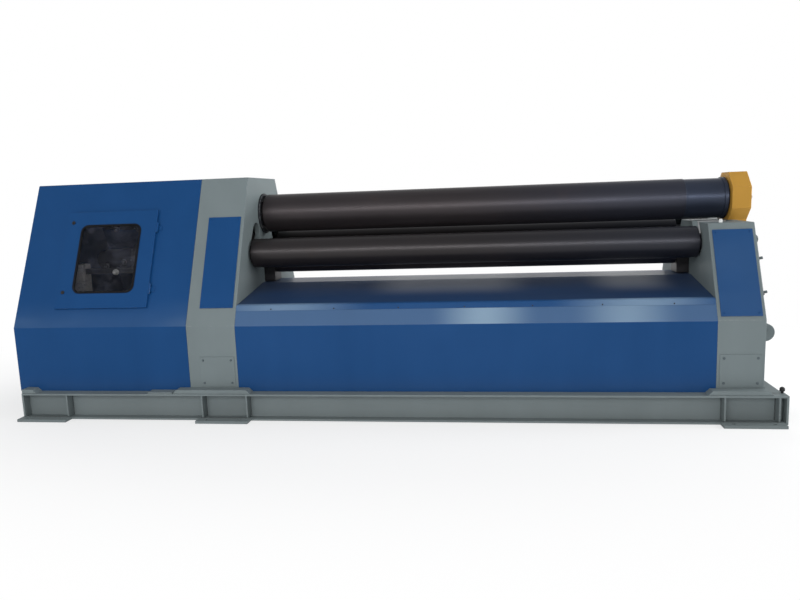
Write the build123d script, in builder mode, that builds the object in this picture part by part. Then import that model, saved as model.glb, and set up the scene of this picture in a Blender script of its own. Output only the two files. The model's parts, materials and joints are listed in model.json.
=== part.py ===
from build123d import *
import os
from math import atan, cos, hypot, pi, radians, sin, tan

# Four-roll hydraulic plate rolling machine.
# X runs along the rolls from the drive end to the drop end, Y to the rear, Z up.
# The origin is on the floor, in the middle of the machine's length and depth.
# All sizes are in millimetres.

# Rolls
frame_gap = 3400.0
upper_roll_d = 310.0
lower_roll_d = 280.0
side_roll_d = 230.0
upper_axis_z = 1502.0
lower_axis_z = 1146.0
side_axis_y = 340.0
side_axis_z = 1195.0
side_guide_angle = 35.0
side_stroke = 190.0
rear_raise = 40.0
lower_stroke = 48.0
upper_end_gap = 40.0
side_end_gap = 20.0
lower_end_gap = 95.0

# Roll necks and journals
upper_neck_d = 220.0
ground_neck_d = 302.0
upper_journal_d = 170.0
drive_shaft_d = 120.0
drive_shaft_reach = 208.0
lower_neck_d = 160.0
lower_journal_d = 130.0
side_neck_d = 124.0
side_journal_d = 100.0
running_fit = 0.05

# Frames
drive_frame_w = 382.0
idle_frame_w = 309.0
plate_t = 40.0
skin_t = 20.0
idle_top_t = 50.0
fold_half_depth = 844.0
fold_z = 699.0
top_half_depth = 340.0
drive_top_z = 1795.0
idle_top_z = 1338.0

# Bearing blocks, guides and lift rams
block_gap = 5.0
block_w = 200.0
side_block_size = 160.0
lower_block_w = 220.0
lower_block_up = 85.0
lower_block_down = 140.0
nose_reach = 88.0
nose_w = 170.0
nose_top = 86.0
nose_bottom = 206.0
rail_t = 25.0
slide_gap = 0.3
side_slot_w = 150.0
slot_spare = 10.0
neck_slot_gap = 12.0
side_ram_d = 76.0
side_ram_barrel_d = 120.0
side_ram_barrel_l = 310.0
lower_ram_d = 100.0
lower_ram_barrel_d = 150.0
lower_ram_barrel_l = 160.0
ram_head_gap = 20.0
ram_wall = 25.0
seat_t = 25.0
seat_margin = 30.0

# Upper roll bearing in the drive frame
bearing_d = 250.0
bearing_w = 95.0
hub_wall = 35.0
bearing_cover_d = 330.0
bearing_cover_t = 16.0

# Base
beam_h = 200.0
beam_w = 150.0
beam_web_t = 10.0
beam_flange_t = 14.0
beam_root_r = 10.0
beam_lead = 87.0
base_left_inset = 64.0
base_right_reach = 131.0
end_plate_t = 15.0
stiffener_t = 12.0
cross_h = 180.0
cross_w = 70.0
cross_web_t = 9.0
foot_l = 400.0
foot_reach = 80.0
foot_t = 20.0
foot_hole_d = 28.0
foot_hole_pitch = 260.0
drive_foot_inset = 90.0
right_foot_inset = 30.0
stiffener_inset = 27.0
toe_h = 30.0
toe_depth = 80.0
toe_over = 112.0
toe_idle_over = 72.0
toe_outer_over = 40.0
toe_end_l = 118.0
shim_h = 12.0
shim_l = 198.0
knob_d = 34.0
knob_stem_r = 8.0
knob_lift = 26.0
knob_inset = 20.0

# Aprons and tie beam
apron_t = 6.0
apron_fold_z = 695.0
apron_shoulder_z = 840.0
apron_ridge_y = 160.0
apron_ridge_z = 934.0
apron_lip = 60.0
apron_joint = 2.0
fold_r = 15.0
tie_size = 280.0
tie_wall = 14.0
tie_z = 620.0

# Blue slope panels and lower access plates
panel_t = 6.0
drive_panel_shift = 36.0
drive_panel_w = 260.0
drive_panel_z = (824.0, 1491.0)
idle_panel_w = 266.0
idle_panel_z = (724.0, 1292.0)
access_w = 270.0
access_h = 225.0
access_z = 240.0
access_t = 5.0
panel_corner_r = 4.0

# Drive cover with its inspection door
cover_len = 1409.0
sheet_t = 4.0
door_w = 760.0
door_h = 800.0
door_depth = 20.0
door_gap = 0.5
door_right_inset = 325.0
door_mid_z = 1196.0
door_lap = 30.0
door_latch_lap = 80.0
window_w = 510.0
window_h = 570.0
window_r = 62.0
window_dx = 3.0
window_dy = 4.0
seal_w = 18.0
seal_depth = 14.0
seal_proud = 4.0
glass_t = 5.0
glass_bite = 6.0
hinge_l = 80.0
hinge_knuckle_d = 16.0
hinge_pin_d = 8.0
hinge_play = 0.5
hinge_offset = 250.0
hinge_leaf_w = 34.0
latch_inset = 55.0
latch_heights = (310.0, -270.0)
latch_head_d = 28.0
latch_head_t = 6.0
latch_stud_d = 12.0
latch_stud_l = 32.0
latch_hole_d = 18.0
latch_slot = 4.0

# Gearboxes, drive motors and torque reaction
gearbox_flange_d = 294.0
gearbox_body_d = 264.0
gearbox_stage_d = 236.0
gearbox_end_d = 270.0
gearbox_l = 740.0
gearbox_body_l = 333.0
gearbox_flange_t = 30.0
stage_ring_at = 222.0
stage_ring_t = 44.0
lower_gearbox_gap = 10.0
motor_d = 200.0
motor_l = 370.0
motor_body_d = 180.0
motor_cap_d = 150.0
motor_cap_l = 56.0
motor_flange_l = 166.0
motor_fittings = ((104.0, 6.0), (174.0, 45.0), (274.0, 22.0))
fitting_d = 36.0
fitting_l = 35.0
torque_ring_t = 30.0
torque_bar_y = 150.0
torque_bar_w = 44.0
torque_bar_h = 45.0
torque_bar_drop = 84.0
torque_slot_gap = 3.0
post_top_w = 92.0
post_base_w = 160.0
post_lean = 95.0
post_depth = 110.0
post_top_z = 1125.0
post_end_inset = 136.0
post_foot_t = 20.0
post_foot_margin = 20.0

# Hydraulic power unit
tank_l = 900.0
tank_w = 1240.0
tank_h = 548.0
tank_wall = 6.0
tank_frame_inset = 218.0
lid_t = 12.0
lid_over = 20.0
filler_d = 80.0
filler_h = 45.0
pump_motor_d = 260.0
pump_motor_l = 420.0
pump_motor_y = 440.0
pump_motor_lift = 150.0
pump_cowl_d = 240.0
pump_cowl_l = 84.0
pump_foot_l = 210.0
pump_foot_w = 208.0
pump_d = 150.0
pump_l = 260.0
pump_flange_t = 26.0
pump_bell_d = 180.0
pump_bell_l = 104.0
manifold_l = 520.0
manifold_w = 150.0
manifold_h = 60.0
manifold_y = 420.0
valve_count = 6
valve_w = 56.0
valve_l = 130.0
valve_h = 60.0

# Drop head, its pivot and its tilt cylinder
head_width = 385.0
head_sides = 8
head_l = 136.0
head_inset = 37.0
head_chamfer = 5.0
notch_side_gap = 32.0
notch_gap = 10.0
collar_d = 318.0
collar_l = 27.0
collar_gap = 10.0
seat_neck_d = 236.0
taper_big_d = 230.0
taper_l = 80.0
taper_angle = 20.0
taper_gap = 0.3
bush_start = 28.0
bush_d = 280.0
end_cover_d = 270.0
end_cover_t = 14.0
end_cover_spigot = 13.0
end_cover_spigot_d = 240.0
arm_gap = 3.0
arm_w = 220.0
pivot_out = 91.0
pivot_z = 1060.0
pivot_hub_r = 84.0
pivot_pin_d = 60.0
pivot_lug_t = 35.0
pivot_lug_gap = 2.0
pivot_lug_r = 60.0
pivot_lug_h = 260.0
lever_t = 40.0
lever_margin = 18.0
lever_pin_out = 76.0
lever_pin_up = 112.0
clevis_pin_d = 36.0
lever_play = 9.2
lever_slot_in = 88.0
lever_slot_out = 142.0
cheek_gap = 2.0
cheek_t = 18.0
cheek_r = 40.0
cheek_w = 64.0
tilt_foot_out = 283.0
tilt_foot_z = 452.0
tilt_lug_r = 70.0
tilt_lug_t = 30.0
tilt_lug_h = 270.0
tilt_barrel_d = 84.0
tilt_barrel_l = 300.0
tilt_barrel_drop = 138.0
tilt_rod_d = 48.0
tilt_piston_d = 66.0
tilt_piston_l = 22.0
tilt_gland_l = 30.0
tilt_eye_r = 48.0
tilt_pin_d = 50.0
tilt_port_d = 22.0
tilt_port_l = 26.0

# Grease cap on the idle frame
grease_cap_d = 24.0
grease_cap_h = 26.0
grease_cap_x = 100.0
grease_cap_y = 500.0

# Places along X, worked out from the driving sizes
left_reach = cover_len + drive_frame_w + frame_gap / 2
right_reach = frame_gap / 2 + idle_frame_w + tilt_foot_out + tilt_lug_r
x_mid = (left_reach - right_reach) / 2
x_drive_in = x_mid - frame_gap / 2
x_drive_out = x_drive_in - drive_frame_w
x_cover_end = x_drive_out - cover_len
x_base_left = x_cover_end + base_left_inset
x_idle_in = x_mid + frame_gap / 2
x_idle_out = x_idle_in + idle_frame_w
x_base_right = x_idle_out + base_right_reach
mid_plane = Plane.YZ.offset(x_mid)

# The slope of the frames and of the cover
slope_run = (fold_half_depth - top_half_depth) / (drive_top_z - fold_z)
slope_angle = atan(slope_run)
guide_sin = sin(radians(side_guide_angle))
guide_cos = cos(radians(side_guide_angle))

# Places of the bearing blocks, the rams and the beams
block_start = frame_gap / 2 + plate_t + block_gap
block_end = block_start + block_w
side_half = side_block_size / 2
ram_axis = block_start + block_w / 2
beam_y = fold_half_depth + beam_lead - beam_w / 2
beam_inner_y = beam_y - beam_w / 2
beam_outer_y = beam_y + beam_w / 2


def slope_y(z):
    """Depth of the sloped front at height z, measured from the middle plane."""
    return fold_half_depth - slope_run * (z - fold_z)


def outline(top_z):
    """Corners of a frame or cover seen along the rolls, from the front foot to the rear foot."""
    top_y = slope_y(top_z)
    front = [(-fold_half_depth, beam_h), (-fold_half_depth, fold_z), (-top_y, top_z)]
    return front + [(-y, z) for y, z in reversed(front)]


def across(x, y=0.0, z=0.0):
    """Plane square to the rolls, with local axes along Y and Z."""
    return Plane(origin=(x, y, z), x_dir=(0, 1, 0), z_dir=(1, 0, 0))


def upright(y, x=0.0, z=0.0):
    """Upright plane along the rolls, facing the front, with local axes along X and Z."""
    return Plane(origin=(x, y, z), x_dir=(1, 0, 0), z_dir=(0, -1, 0))


def slope(x, z, side):
    """Plane on the front (side -1) or rear (side 1) slope, facing outwards, local Y up the slope."""
    normal = (0, side * cos(slope_angle), sin(slope_angle))
    return Plane(origin=(x, side * slope_y(z), z), x_dir=(-side, 0, 0), z_dir=normal)


def guide(x, side):
    """Plane square to the rolls on a side roll's axis, local X up its guide."""
    up = (0, -side * guide_sin, guide_cos)
    return Plane(origin=(x, side * side_axis_y, side_axis_z), x_dir=up, z_dir=(1, 0, 0))


def guide_section(x, side, travel):
    """Plane square to a side roll's guide at a distance along it, local X along the rolls."""
    up = (0, -side * guide_sin, guide_cos)
    origin = (x, side * (side_axis_y - guide_sin * travel), side_axis_z + guide_cos * travel)
    return Plane(origin=origin, x_dir=(1, 0, 0), z_dir=up)


def stepped(*steps):
    """Closed half profile of a turned piece from (start x, end x, diameter) steps in order."""
    corners = [(steps[0][0], 0.0)]
    for start, end, diameter in steps:
        corners.append((start, diameter / 2))
        corners.append((end, diameter / 2))
    corners.append((steps[-1][1], 0.0))
    return corners


def half_profile(corners, y, z):
    """Face to be turned about a line along X, from the (x, radius) corners of its half profile."""
    with BuildSketch(upright(y, 0.0, z)) as section:
        with BuildLine():
            Polyline(*corners, close=True)
        make_face()
    return section.sketch


def along(y, z):
    """Line along X that a piece is turned about."""
    return Axis((0, y, z), (1, 0, 0))


def write(piece, name):
    """Label a finished piece and write it to its own file."""
    piece.part.label = name
    export_step(piece.part, f"parts/{name}.step")


os.makedirs("parts", exist_ok=True)

# Base beams: two I-sections along the whole machine
beam_start = x_base_left + end_plate_t
beam_length = x_base_right - x_base_left - 2 * end_plate_t
for side, name in ((-1, "base_front_beam"), (1, "base_rear_beam")):
    with BuildPart() as base_beam:
        with BuildSketch(across(beam_start, side * beam_y, beam_h / 2)) as beam_section:
            Rectangle(beam_web_t, beam_h)
            with Locations((0, (beam_h - beam_flange_t) / 2), (0, (beam_flange_t - beam_h) / 2)):
                Rectangle(beam_w, beam_flange_t)
            roots = beam_section.vertices().filter_by(
                lambda corner: abs(abs(corner.Y - side * beam_y) - beam_web_t / 2) < beam_web_t / 4
            )
            fillet(roots, radius=beam_root_r)
        extrude(amount=beam_length)
    write(base_beam, name)

# Cross members: channels between the inner flanges
tank_right = x_drive_out - tank_frame_inset
tank_left = tank_right - tank_l
post_left = x_cover_end + post_end_inset
post_foot_mid = post_left - post_lean + post_base_w / 2
cross_places = [
    post_foot_mid - cross_w / 2,
    tank_left + cross_w,
    tank_right - 2 * cross_w,
    x_drive_out + plate_t,
    x_drive_in - plate_t - cross_w,
    x_mid - cross_w / 2,
    x_idle_in + plate_t,
    x_base_right - end_plate_t - cross_w,
]
with BuildPart() as cross_members:
    with BuildSketch(upright(beam_inner_y, 0.0, beam_h - cross_h / 2)):
        for place in cross_places:
            with Locations((place + cross_w / 2, 0)):
                Rectangle(cross_w, cross_h)
            with Locations((place + (cross_w + cross_web_t) / 2, 0)):
                Rectangle(cross_w - cross_web_t, cross_h - 2 * beam_flange_t, mode=Mode.SUBTRACT)
    extrude(amount=2 * beam_inner_y)
write(cross_members, "base_cross_members")

# Feet, stiffeners and end plates
foot_places = [
    x_base_left + foot_l / 2,
    x_drive_in - drive_foot_inset,
    x_base_right - right_foot_inset - foot_l / 2,
]
stiffener_reach = foot_l / 2 - stiffener_inset
stiffener_places = [place + stiffener_reach for place in foot_places]
stiffener_places += [place - stiffener_reach for place in foot_places[1:]]
with BuildPart() as stiffeners:
    recess = (beam_w - beam_web_t) / 2
    for place in stiffener_places:
        with BuildSketch(across(place - stiffener_t / 2, -beam_y, beam_h / 2)):
            with Locations((-(beam_w - recess) / 2, 0)):
                Rectangle(recess, beam_h - 2 * beam_flange_t)
        extrude(amount=stiffener_t)
    for place in (x_base_left, x_base_right - end_plate_t):
        with BuildSketch(across(place, -beam_y, beam_h / 2)):
            Rectangle(beam_w, beam_h)
        extrude(amount=end_plate_t)
    mirror(about=Plane.XZ)
write(stiffeners, "base_stiffeners")

with BuildPart() as foot_plates:
    with BuildSketch(Plane.XY):
        for place in foot_places:
            with Locations((place, -beam_outer_y - foot_reach / 2)):
                Rectangle(foot_l, foot_reach)
                with GridLocations(foot_hole_pitch, 0, 2, 1):
                    Circle(foot_hole_d / 2, mode=Mode.SUBTRACT)
    extrude(amount=foot_t)
    mirror(about=Plane.XZ)
write(foot_plates, "base_foot_plates")

# Toe plates hold the frames and the cover's end down on the beams
with BuildPart() as toe_plates:
    with BuildSketch(upright(-fold_half_depth)):
        toe_spans = (
            (x_drive_out - toe_over, x_drive_in + toe_over),
            (x_idle_in - toe_idle_over, x_idle_out + toe_outer_over),
        )
        for low, high in toe_spans:
            with BuildLine():
                Polyline(
                    (low, beam_h),
                    (low + toe_h, beam_h + toe_h),
                    (high - toe_h, beam_h + toe_h),
                    (high, beam_h),
                    close=True,
                )
            make_face()
        with BuildLine():
            Polyline(
                (x_base_left, beam_h),
                (x_base_left, beam_h + toe_h),
                (x_base_left + toe_end_l - toe_h, beam_h + toe_h),
                (x_base_left + toe_end_l, beam_h),
                close=True,
            )
        make_face()
    extrude(amount=toe_depth)
    shim_mid = x_drive_out - toe_over - shim_l / 2
    with BuildSketch(upright(-fold_half_depth, shim_mid, beam_h + shim_h / 2)):
        Rectangle(shim_l, shim_h)
    extrude(amount=toe_depth)
    mirror(about=Plane.XZ)
write(toe_plates, "frame_toe_plates")

knob_x = x_base_right - knob_inset
with BuildPart() as end_knob:
    with BuildSketch(upright(-beam_y, knob_x, beam_h)):
        with BuildLine():
            Polyline(
                (0, 0),
                (knob_stem_r, 0),
                (knob_stem_r, knob_lift - knob_d / 2),
                (knob_d / 2, knob_lift - knob_d / 4),
                (knob_d / 2, knob_lift + knob_d / 4),
                (knob_d / 4, knob_lift + knob_d / 2),
                (0, knob_lift + knob_d / 2),
                close=True,
            )
        make_face()
    revolve(axis=Axis((knob_x, -beam_y, 0), (0, 0, 1)))
write(end_knob, "base_end_knob")

# Lower roll slots are shared by both frames
lower_slot_half = max(lower_neck_d, nose_w) / 2 + neck_slot_gap / 2
lower_slot_low = lower_axis_z - nose_bottom - neck_slot_gap
lower_slot_high = lower_axis_z + lower_neck_d / 2 + lower_stroke + neck_slot_gap / 2
lower_slot_mid = (lower_slot_low + lower_slot_high) / 2
lower_slot_h = lower_slot_high - lower_slot_low

# Drive frame: welded box with the upper bearing hub, side slots and lower slots
with BuildPart() as drive_frame:
    with BuildSketch(across(x_drive_out)):
        with BuildLine():
            Polyline(*outline(drive_top_z), close=True)
        make_face()
    extrude(amount=drive_frame_w)
    with BuildSketch(across(x_drive_out + plate_t)):
        with BuildLine():
            Polyline(*outline(drive_top_z), close=True)
        make_face()
        offset(amount=-skin_t, kind=Kind.INTERSECTION)
    extrude(amount=drive_frame_w - 2 * plate_t, mode=Mode.SUBTRACT)
    with BuildSketch(across(x_drive_out + plate_t / 2, 0, upper_axis_z)):
        Circle(bearing_d / 2 + hub_wall)
    extrude(amount=drive_frame_w - plate_t)
    with BuildSketch(across(x_drive_out, 0, upper_axis_z)):
        Circle(bearing_d / 2)
    extrude(amount=drive_frame_w - plate_t, mode=Mode.SUBTRACT)
    with BuildSketch(across(x_drive_in - plate_t, 0, upper_axis_z)):
        Circle(upper_neck_d / 2 + neck_slot_gap / 4)
    extrude(amount=plate_t, mode=Mode.SUBTRACT)
    for side in (-1, 1):
        with BuildSketch(guide(x_drive_in - plate_t, side)):
            with Locations((side_stroke / 2, 0)):
                SlotCenterToCenter(side_stroke + 2 * slot_spare, side_slot_w)
        extrude(amount=plate_t, mode=Mode.SUBTRACT)
    with BuildSketch(across(x_drive_in - plate_t, 0, lower_slot_mid)):
        Rectangle(2 * lower_slot_half, lower_slot_h)
    extrude(amount=plate_t, mode=Mode.SUBTRACT)
    with BuildSketch(across(x_drive_out, 0, lower_axis_z + lower_stroke / 2)):
        SlotCenterToCenter(lower_stroke, drive_shaft_d + neck_slot_gap, rotation=90)
    extrude(amount=plate_t, mode=Mode.SUBTRACT)
write(drive_frame, "drive_frame")

# Idle frame: lower box, side slots open at the top, a notch for the drop head
head_in = x_idle_out - head_inset
head_out = head_in + head_l
head_low = upper_axis_z - head_width / 2
facet_half = head_width / 2 * tan(pi / head_sides)
head_half_at_top = min(head_width / 2, facet_half + (idle_top_z - head_low) / tan(2 * pi / head_sides))
notch_half_w = head_half_at_top + notch_side_gap
with BuildPart() as idle_frame:
    with BuildSketch(across(x_idle_in)):
        with BuildLine():
            Polyline(*outline(idle_top_z), close=True)
        make_face()
    extrude(amount=idle_frame_w)
    with BuildSketch(across(x_idle_in + plate_t)):
        with BuildLine():
            Polyline(*outline(idle_top_z - idle_top_t + skin_t), close=True)
        make_face()
        offset(amount=-skin_t, kind=Kind.INTERSECTION)
    extrude(amount=idle_frame_w - 2 * plate_t, mode=Mode.SUBTRACT)
    open_l = side_stroke + side_block_size
    for side in (-1, 1):
        with BuildSketch(guide(x_idle_in, side)):
            with Locations((open_l / 2 - slot_spare, 0)):
                SlotCenterToCenter(open_l, side_slot_w)
        extrude(amount=plate_t, mode=Mode.SUBTRACT)
        with BuildSketch(guide(x_idle_in + plate_t, side)):
            with Locations((open_l / 2, 0)):
                Rectangle(open_l, side_block_size + 2 * slide_gap + 2 * rail_t)
        extrude(amount=block_w + 2 * block_gap, mode=Mode.SUBTRACT)
    with BuildSketch(across(x_idle_in, 0, lower_slot_mid)):
        Rectangle(2 * lower_slot_half, lower_slot_h)
    extrude(amount=plate_t, mode=Mode.SUBTRACT)
    notch_floor = head_low - notch_gap
    with BuildSketch(across(head_in - notch_gap, 0, notch_floor + head_width / 2)):
        Rectangle(2 * notch_half_w, head_width)
    extrude(amount=head_inset + notch_gap, mode=Mode.SUBTRACT)
write(idle_frame, "idle_frame")

# Blue panels on the slopes of both frames
drive_panel_x = (x_drive_out + x_drive_in) / 2 + drive_panel_shift
panel_rows = (
    (drive_panel_x, drive_panel_w, drive_panel_z),
    ((x_idle_in + x_idle_out) / 2, idle_panel_w, idle_panel_z),
)
with BuildPart() as slope_panels:
    for place, width, (low, high) in panel_rows:
        with BuildSketch(slope(place, (low + high) / 2, -1)):
            RectangleRounded(width, (high - low) / cos(slope_angle), panel_corner_r)
        extrude(amount=panel_t)
    mirror(about=Plane.XZ)
write(slope_panels, "frame_slope_panels")

with BuildPart() as access_plates:
    for place in (drive_panel_x, (x_idle_in + x_idle_out) / 2):
        with BuildSketch(upright(-fold_half_depth, place, access_z + access_h / 2)):
            RectangleRounded(access_w, access_h, panel_corner_r)
        extrude(amount=access_t)
    mirror(about=Plane.XZ)
write(access_plates, "frame_access_plates")

with BuildPart() as grease_cap:
    with BuildSketch(Plane((x_idle_in + grease_cap_x, -grease_cap_y, idle_top_z))):
        Circle(grease_cap_d / 2)
    extrude(amount=grease_cap_h)
    chamfer(grease_cap.edges().group_by(Axis.Z)[-1], length=grease_cap_d / 4)
write(grease_cap, "grease_cap")

# Tie beam between the frames, below the rolls
with BuildPart() as tie_beam:
    with BuildSketch(across(x_drive_in, 0, tie_z)):
        RectangleRounded(tie_size, tie_size, 2 * tie_wall)
        Rectangle(tie_size - 2 * tie_wall, tie_size - 2 * tie_wall, mode=Mode.SUBTRACT)
    extrude(amount=frame_gap)
write(tie_beam, "tie_beam")

# Folded aprons close the front and the rear below the rolls
flat_end = (apron_ridge_y - apron_joint, apron_ridge_z)
rear_lip = (apron_ridge_y, apron_ridge_z - apron_lip)
for side, name, last in ((-1, "front_apron", flat_end), (1, "rear_apron", rear_lip)):
    with BuildPart() as apron:
        with BuildSketch(across(x_drive_in)):
            with BuildLine():
                FilletPolyline(
                    (side * fold_half_depth, beam_h),
                    (side * fold_half_depth, apron_fold_z),
                    (side * slope_y(apron_shoulder_z), apron_shoulder_z),
                    (side * apron_ridge_y, apron_ridge_z),
                    last,
                    radius=fold_r,
                )
                offset(amount=apron_t, side=Side.RIGHT if side < 0 else Side.LEFT)
            make_face()
        extrude(amount=frame_gap)
    write(apron, name)

# Guide rails for the side and lower bearing blocks, welded to the frames' inner plates
rail_start = frame_gap / 2 + plate_t
rail_w = block_end - rail_start
with BuildPart() as guide_rails:
    for side in (-1, 1):
        with BuildSketch(guide(x_mid + rail_start, side)):
            for edge in (-1, 1):
                rail_mid = edge * (side_half + slide_gap + rail_t / 2)
                with Locations(((side_stroke - slot_spare) / 2, rail_mid)):
                    Rectangle(side_stroke + side_block_size + slot_spare, rail_t)
        extrude(amount=rail_w)
    split(bisect_by=Plane.XY.offset(idle_top_z), keep=Keep.BOTTOM)
    with BuildSketch(across(x_mid + rail_start)):
        for edge in (-1, 1):
            rail_low = lower_axis_z - lower_block_down
            rail_high = lower_axis_z + lower_block_up + lower_stroke
            rail_mid = edge * (lower_block_w / 2 + slide_gap + rail_t / 2)
            with Locations((rail_mid, (rail_low + rail_high) / 2)):
                Rectangle(rail_t, rail_high - rail_low)
    extrude(amount=rail_w)
    mirror(about=mid_plane)
write(guide_rails, "guide_rails")

# Lift rams: barrels and seats in the frames, one under each bearing block
side_barrel_top = -side_half - ram_head_gap
side_barrel_foot = side_barrel_top - side_ram_barrel_l
lower_barrel_top = lower_axis_z - lower_block_down - ram_head_gap
lower_barrel_foot = lower_barrel_top - lower_ram_barrel_l
with BuildPart() as lift_cylinders:
    for side in (-1, 1):
        with BuildSketch(guide_section(x_mid + ram_axis, side, side_barrel_foot)):
            Circle(side_ram_barrel_d / 2)
        extrude(amount=side_ram_barrel_l)
        with BuildSketch(guide_section(x_mid + ram_axis, side, side_barrel_foot + ram_wall)):
            Circle(side_ram_d / 2 + running_fit)
        extrude(amount=side_ram_barrel_l - ram_wall, mode=Mode.SUBTRACT)
    with BuildSketch(Plane((x_mid + ram_axis, 0, lower_barrel_foot))):
        Circle(lower_ram_barrel_d / 2)
    extrude(amount=lower_ram_barrel_l)
    with BuildSketch(Plane((x_mid + ram_axis, 0, lower_barrel_foot + ram_wall))):
        Circle(lower_ram_d / 2 + running_fit)
    extrude(amount=lower_ram_barrel_l - ram_wall, mode=Mode.SUBTRACT)
    mirror(about=mid_plane)
write(lift_cylinders, "lift_cylinders")

with BuildPart() as cylinder_seats:
    spans = (
        (x_drive_out + plate_t, x_drive_in - plate_t),
        (x_idle_in + plate_t, x_idle_out - plate_t),
    )
    for left, right in spans:
        middle = (left + right) / 2
        for side in (-1, 1):
            with BuildSketch(guide_section(middle, side, side_barrel_foot - seat_t)):
                Rectangle(right - left, side_ram_barrel_d + 2 * seat_margin)
            extrude(amount=seat_t)
        with BuildSketch(Plane((middle, 0, lower_barrel_foot - seat_t))):
            Rectangle(right - left, lower_ram_barrel_d + 2 * seat_margin)
        extrude(amount=seat_t)
write(cylinder_seats, "cylinder_seats")

# Upper roll, with its tapered journal for the drop head
taper_small_d = taper_big_d - 2 * taper_l * tan(radians(taper_angle))
taper_start = head_in + bush_start
taper_end = taper_start + taper_l
upper_left = x_drive_in + upper_end_gap
upper_right = x_idle_in - upper_end_gap
collar_end = head_in - collar_gap
upper_profile = stepped(
    (x_drive_out - drive_shaft_reach, x_drive_out, drive_shaft_d),
    (x_drive_out, x_drive_in - plate_t - block_gap, upper_journal_d),
    (x_drive_in - plate_t - block_gap, upper_left, upper_neck_d),
    (upper_left, upper_right, upper_roll_d),
    (upper_right, collar_end - collar_l, ground_neck_d),
    (collar_end - collar_l, collar_end, collar_d),
    (collar_end, taper_start, seat_neck_d),
)[:-1]
upper_profile += [
    (taper_start, taper_big_d / 2),
    (taper_end, taper_small_d / 2),
    (taper_end, 0.0),
]
with BuildPart() as upper_roll:
    revolve(half_profile(upper_profile, 0.0, upper_axis_z), axis=along(0.0, upper_axis_z))
write(upper_roll, "upper_roll")

with BuildPart() as bearing_rings:
    inner_ring = x_drive_in - plate_t - block_gap - bearing_w
    for place in (inner_ring, x_drive_out + block_gap):
        with BuildSketch(across(place, 0, upper_axis_z)):
            Circle(bearing_d / 2)
            Circle(upper_journal_d / 2 + running_fit, mode=Mode.SUBTRACT)
        extrude(amount=bearing_w)
write(bearing_rings, "upper_bearing_rings")

with BuildPart() as bearing_cover:
    with BuildSketch(across(x_drive_in, 0, upper_axis_z)):
        Circle(bearing_cover_d / 2)
        Circle(upper_neck_d / 2 + slide_gap, mode=Mode.SUBTRACT)
    extrude(amount=bearing_cover_t)
    outer_edge = bearing_cover.edges().group_by(Axis.X)[-1].sort_by(SortBy.LENGTH)[-1]
    chamfer(outer_edge, length=bearing_cover_t / 4)
write(bearing_cover, "upper_bearing_cover")

# Lower roll, driven through the drive frame
lower_half = frame_gap / 2 - lower_end_gap
lower_profile = stepped(
    (x_drive_out - drive_shaft_reach, x_mid - block_end, drive_shaft_d),
    (x_mid - block_end, x_mid - block_start, lower_journal_d),
    (x_mid - block_start, x_mid - lower_half, lower_neck_d),
    (x_mid - lower_half, x_mid + lower_half, lower_roll_d),
    (x_mid + lower_half, x_mid + block_start, lower_neck_d),
    (x_mid + block_start, x_mid + block_end, lower_journal_d),
)
with BuildPart() as lower_roll:
    revolve(half_profile(lower_profile, 0.0, lower_axis_z), axis=along(0.0, lower_axis_z))
write(lower_roll, "lower_roll")

# Lower bearing blocks: guided body, and a nose that stands under the roll's neck
with BuildPart() as lower_blocks:
    block_h = lower_block_up + lower_block_down
    block_mid_z = lower_axis_z + (lower_block_up - lower_block_down) / 2
    with BuildSketch(across(x_mid + block_start, 0, block_mid_z)):
        Rectangle(lower_block_w, block_h)
    extrude(amount=block_w)
    nose_mid_z = lower_axis_z - (nose_top + nose_bottom) / 2
    with BuildSketch(across(x_idle_in - nose_reach, 0, nose_mid_z)):
        Rectangle(nose_w, nose_bottom - nose_top)
    extrude(amount=nose_reach + plate_t + block_gap)
    with BuildSketch(across(x_mid + block_start, 0, lower_axis_z)):
        Circle(lower_journal_d / 2 + running_fit)
    extrude(amount=block_w, mode=Mode.SUBTRACT)
    mirror(about=mid_plane)
write(lower_blocks, "lower_bearing_blocks")

with BuildPart() as lower_rods:
    rod_foot = lower_barrel_foot + ram_wall + slide_gap
    with BuildSketch(Plane((x_mid + ram_axis, 0, rod_foot))):
        Circle(lower_ram_d / 2)
    extrude(amount=lower_axis_z - lower_block_down - rod_foot)
    mirror(about=mid_plane)
write(lower_rods, "lower_lift_rods")

# Side rolls with their blocks and lift rods
side_barrel_half = frame_gap / 2 - side_end_gap
side_profile = stepped(
    (x_mid - block_end, x_mid - block_start, side_journal_d),
    (x_mid - block_start, x_mid - side_barrel_half, side_neck_d),
    (x_mid - side_barrel_half, x_mid + side_barrel_half, side_roll_d),
    (x_mid + side_barrel_half, x_mid + block_start, side_neck_d),
    (x_mid + block_start, x_mid + block_end, side_journal_d),
)
for side, place, raised in ((-1, "front", 0.0), (1, "rear", rear_raise)):
    roll_y = side * (side_axis_y - guide_sin * raised)
    roll_z = side_axis_z + guide_cos * raised
    with BuildPart() as side_roll:
        revolve(half_profile(side_profile, roll_y, roll_z), axis=along(roll_y, roll_z))
    write(side_roll, f"{place}_side_roll")

    with BuildPart() as side_blocks:
        with BuildSketch(guide(x_mid + block_start, side)):
            with Locations((raised, 0)):
                Rectangle(side_block_size, side_block_size)
                Circle(side_journal_d / 2 + running_fit, mode=Mode.SUBTRACT)
        extrude(amount=block_w)
        mirror(about=mid_plane)
    write(side_blocks, f"{place}_side_blocks")

    with BuildPart() as side_rods:
        rod_foot = side_barrel_foot + ram_wall + slide_gap
        with BuildSketch(guide_section(x_mid + ram_axis, side, rod_foot + raised)):
            Circle(side_ram_d / 2)
        extrude(amount=-side_half - rod_foot)
        mirror(about=mid_plane)
    write(side_rods, f"{place}_side_rods")


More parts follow.
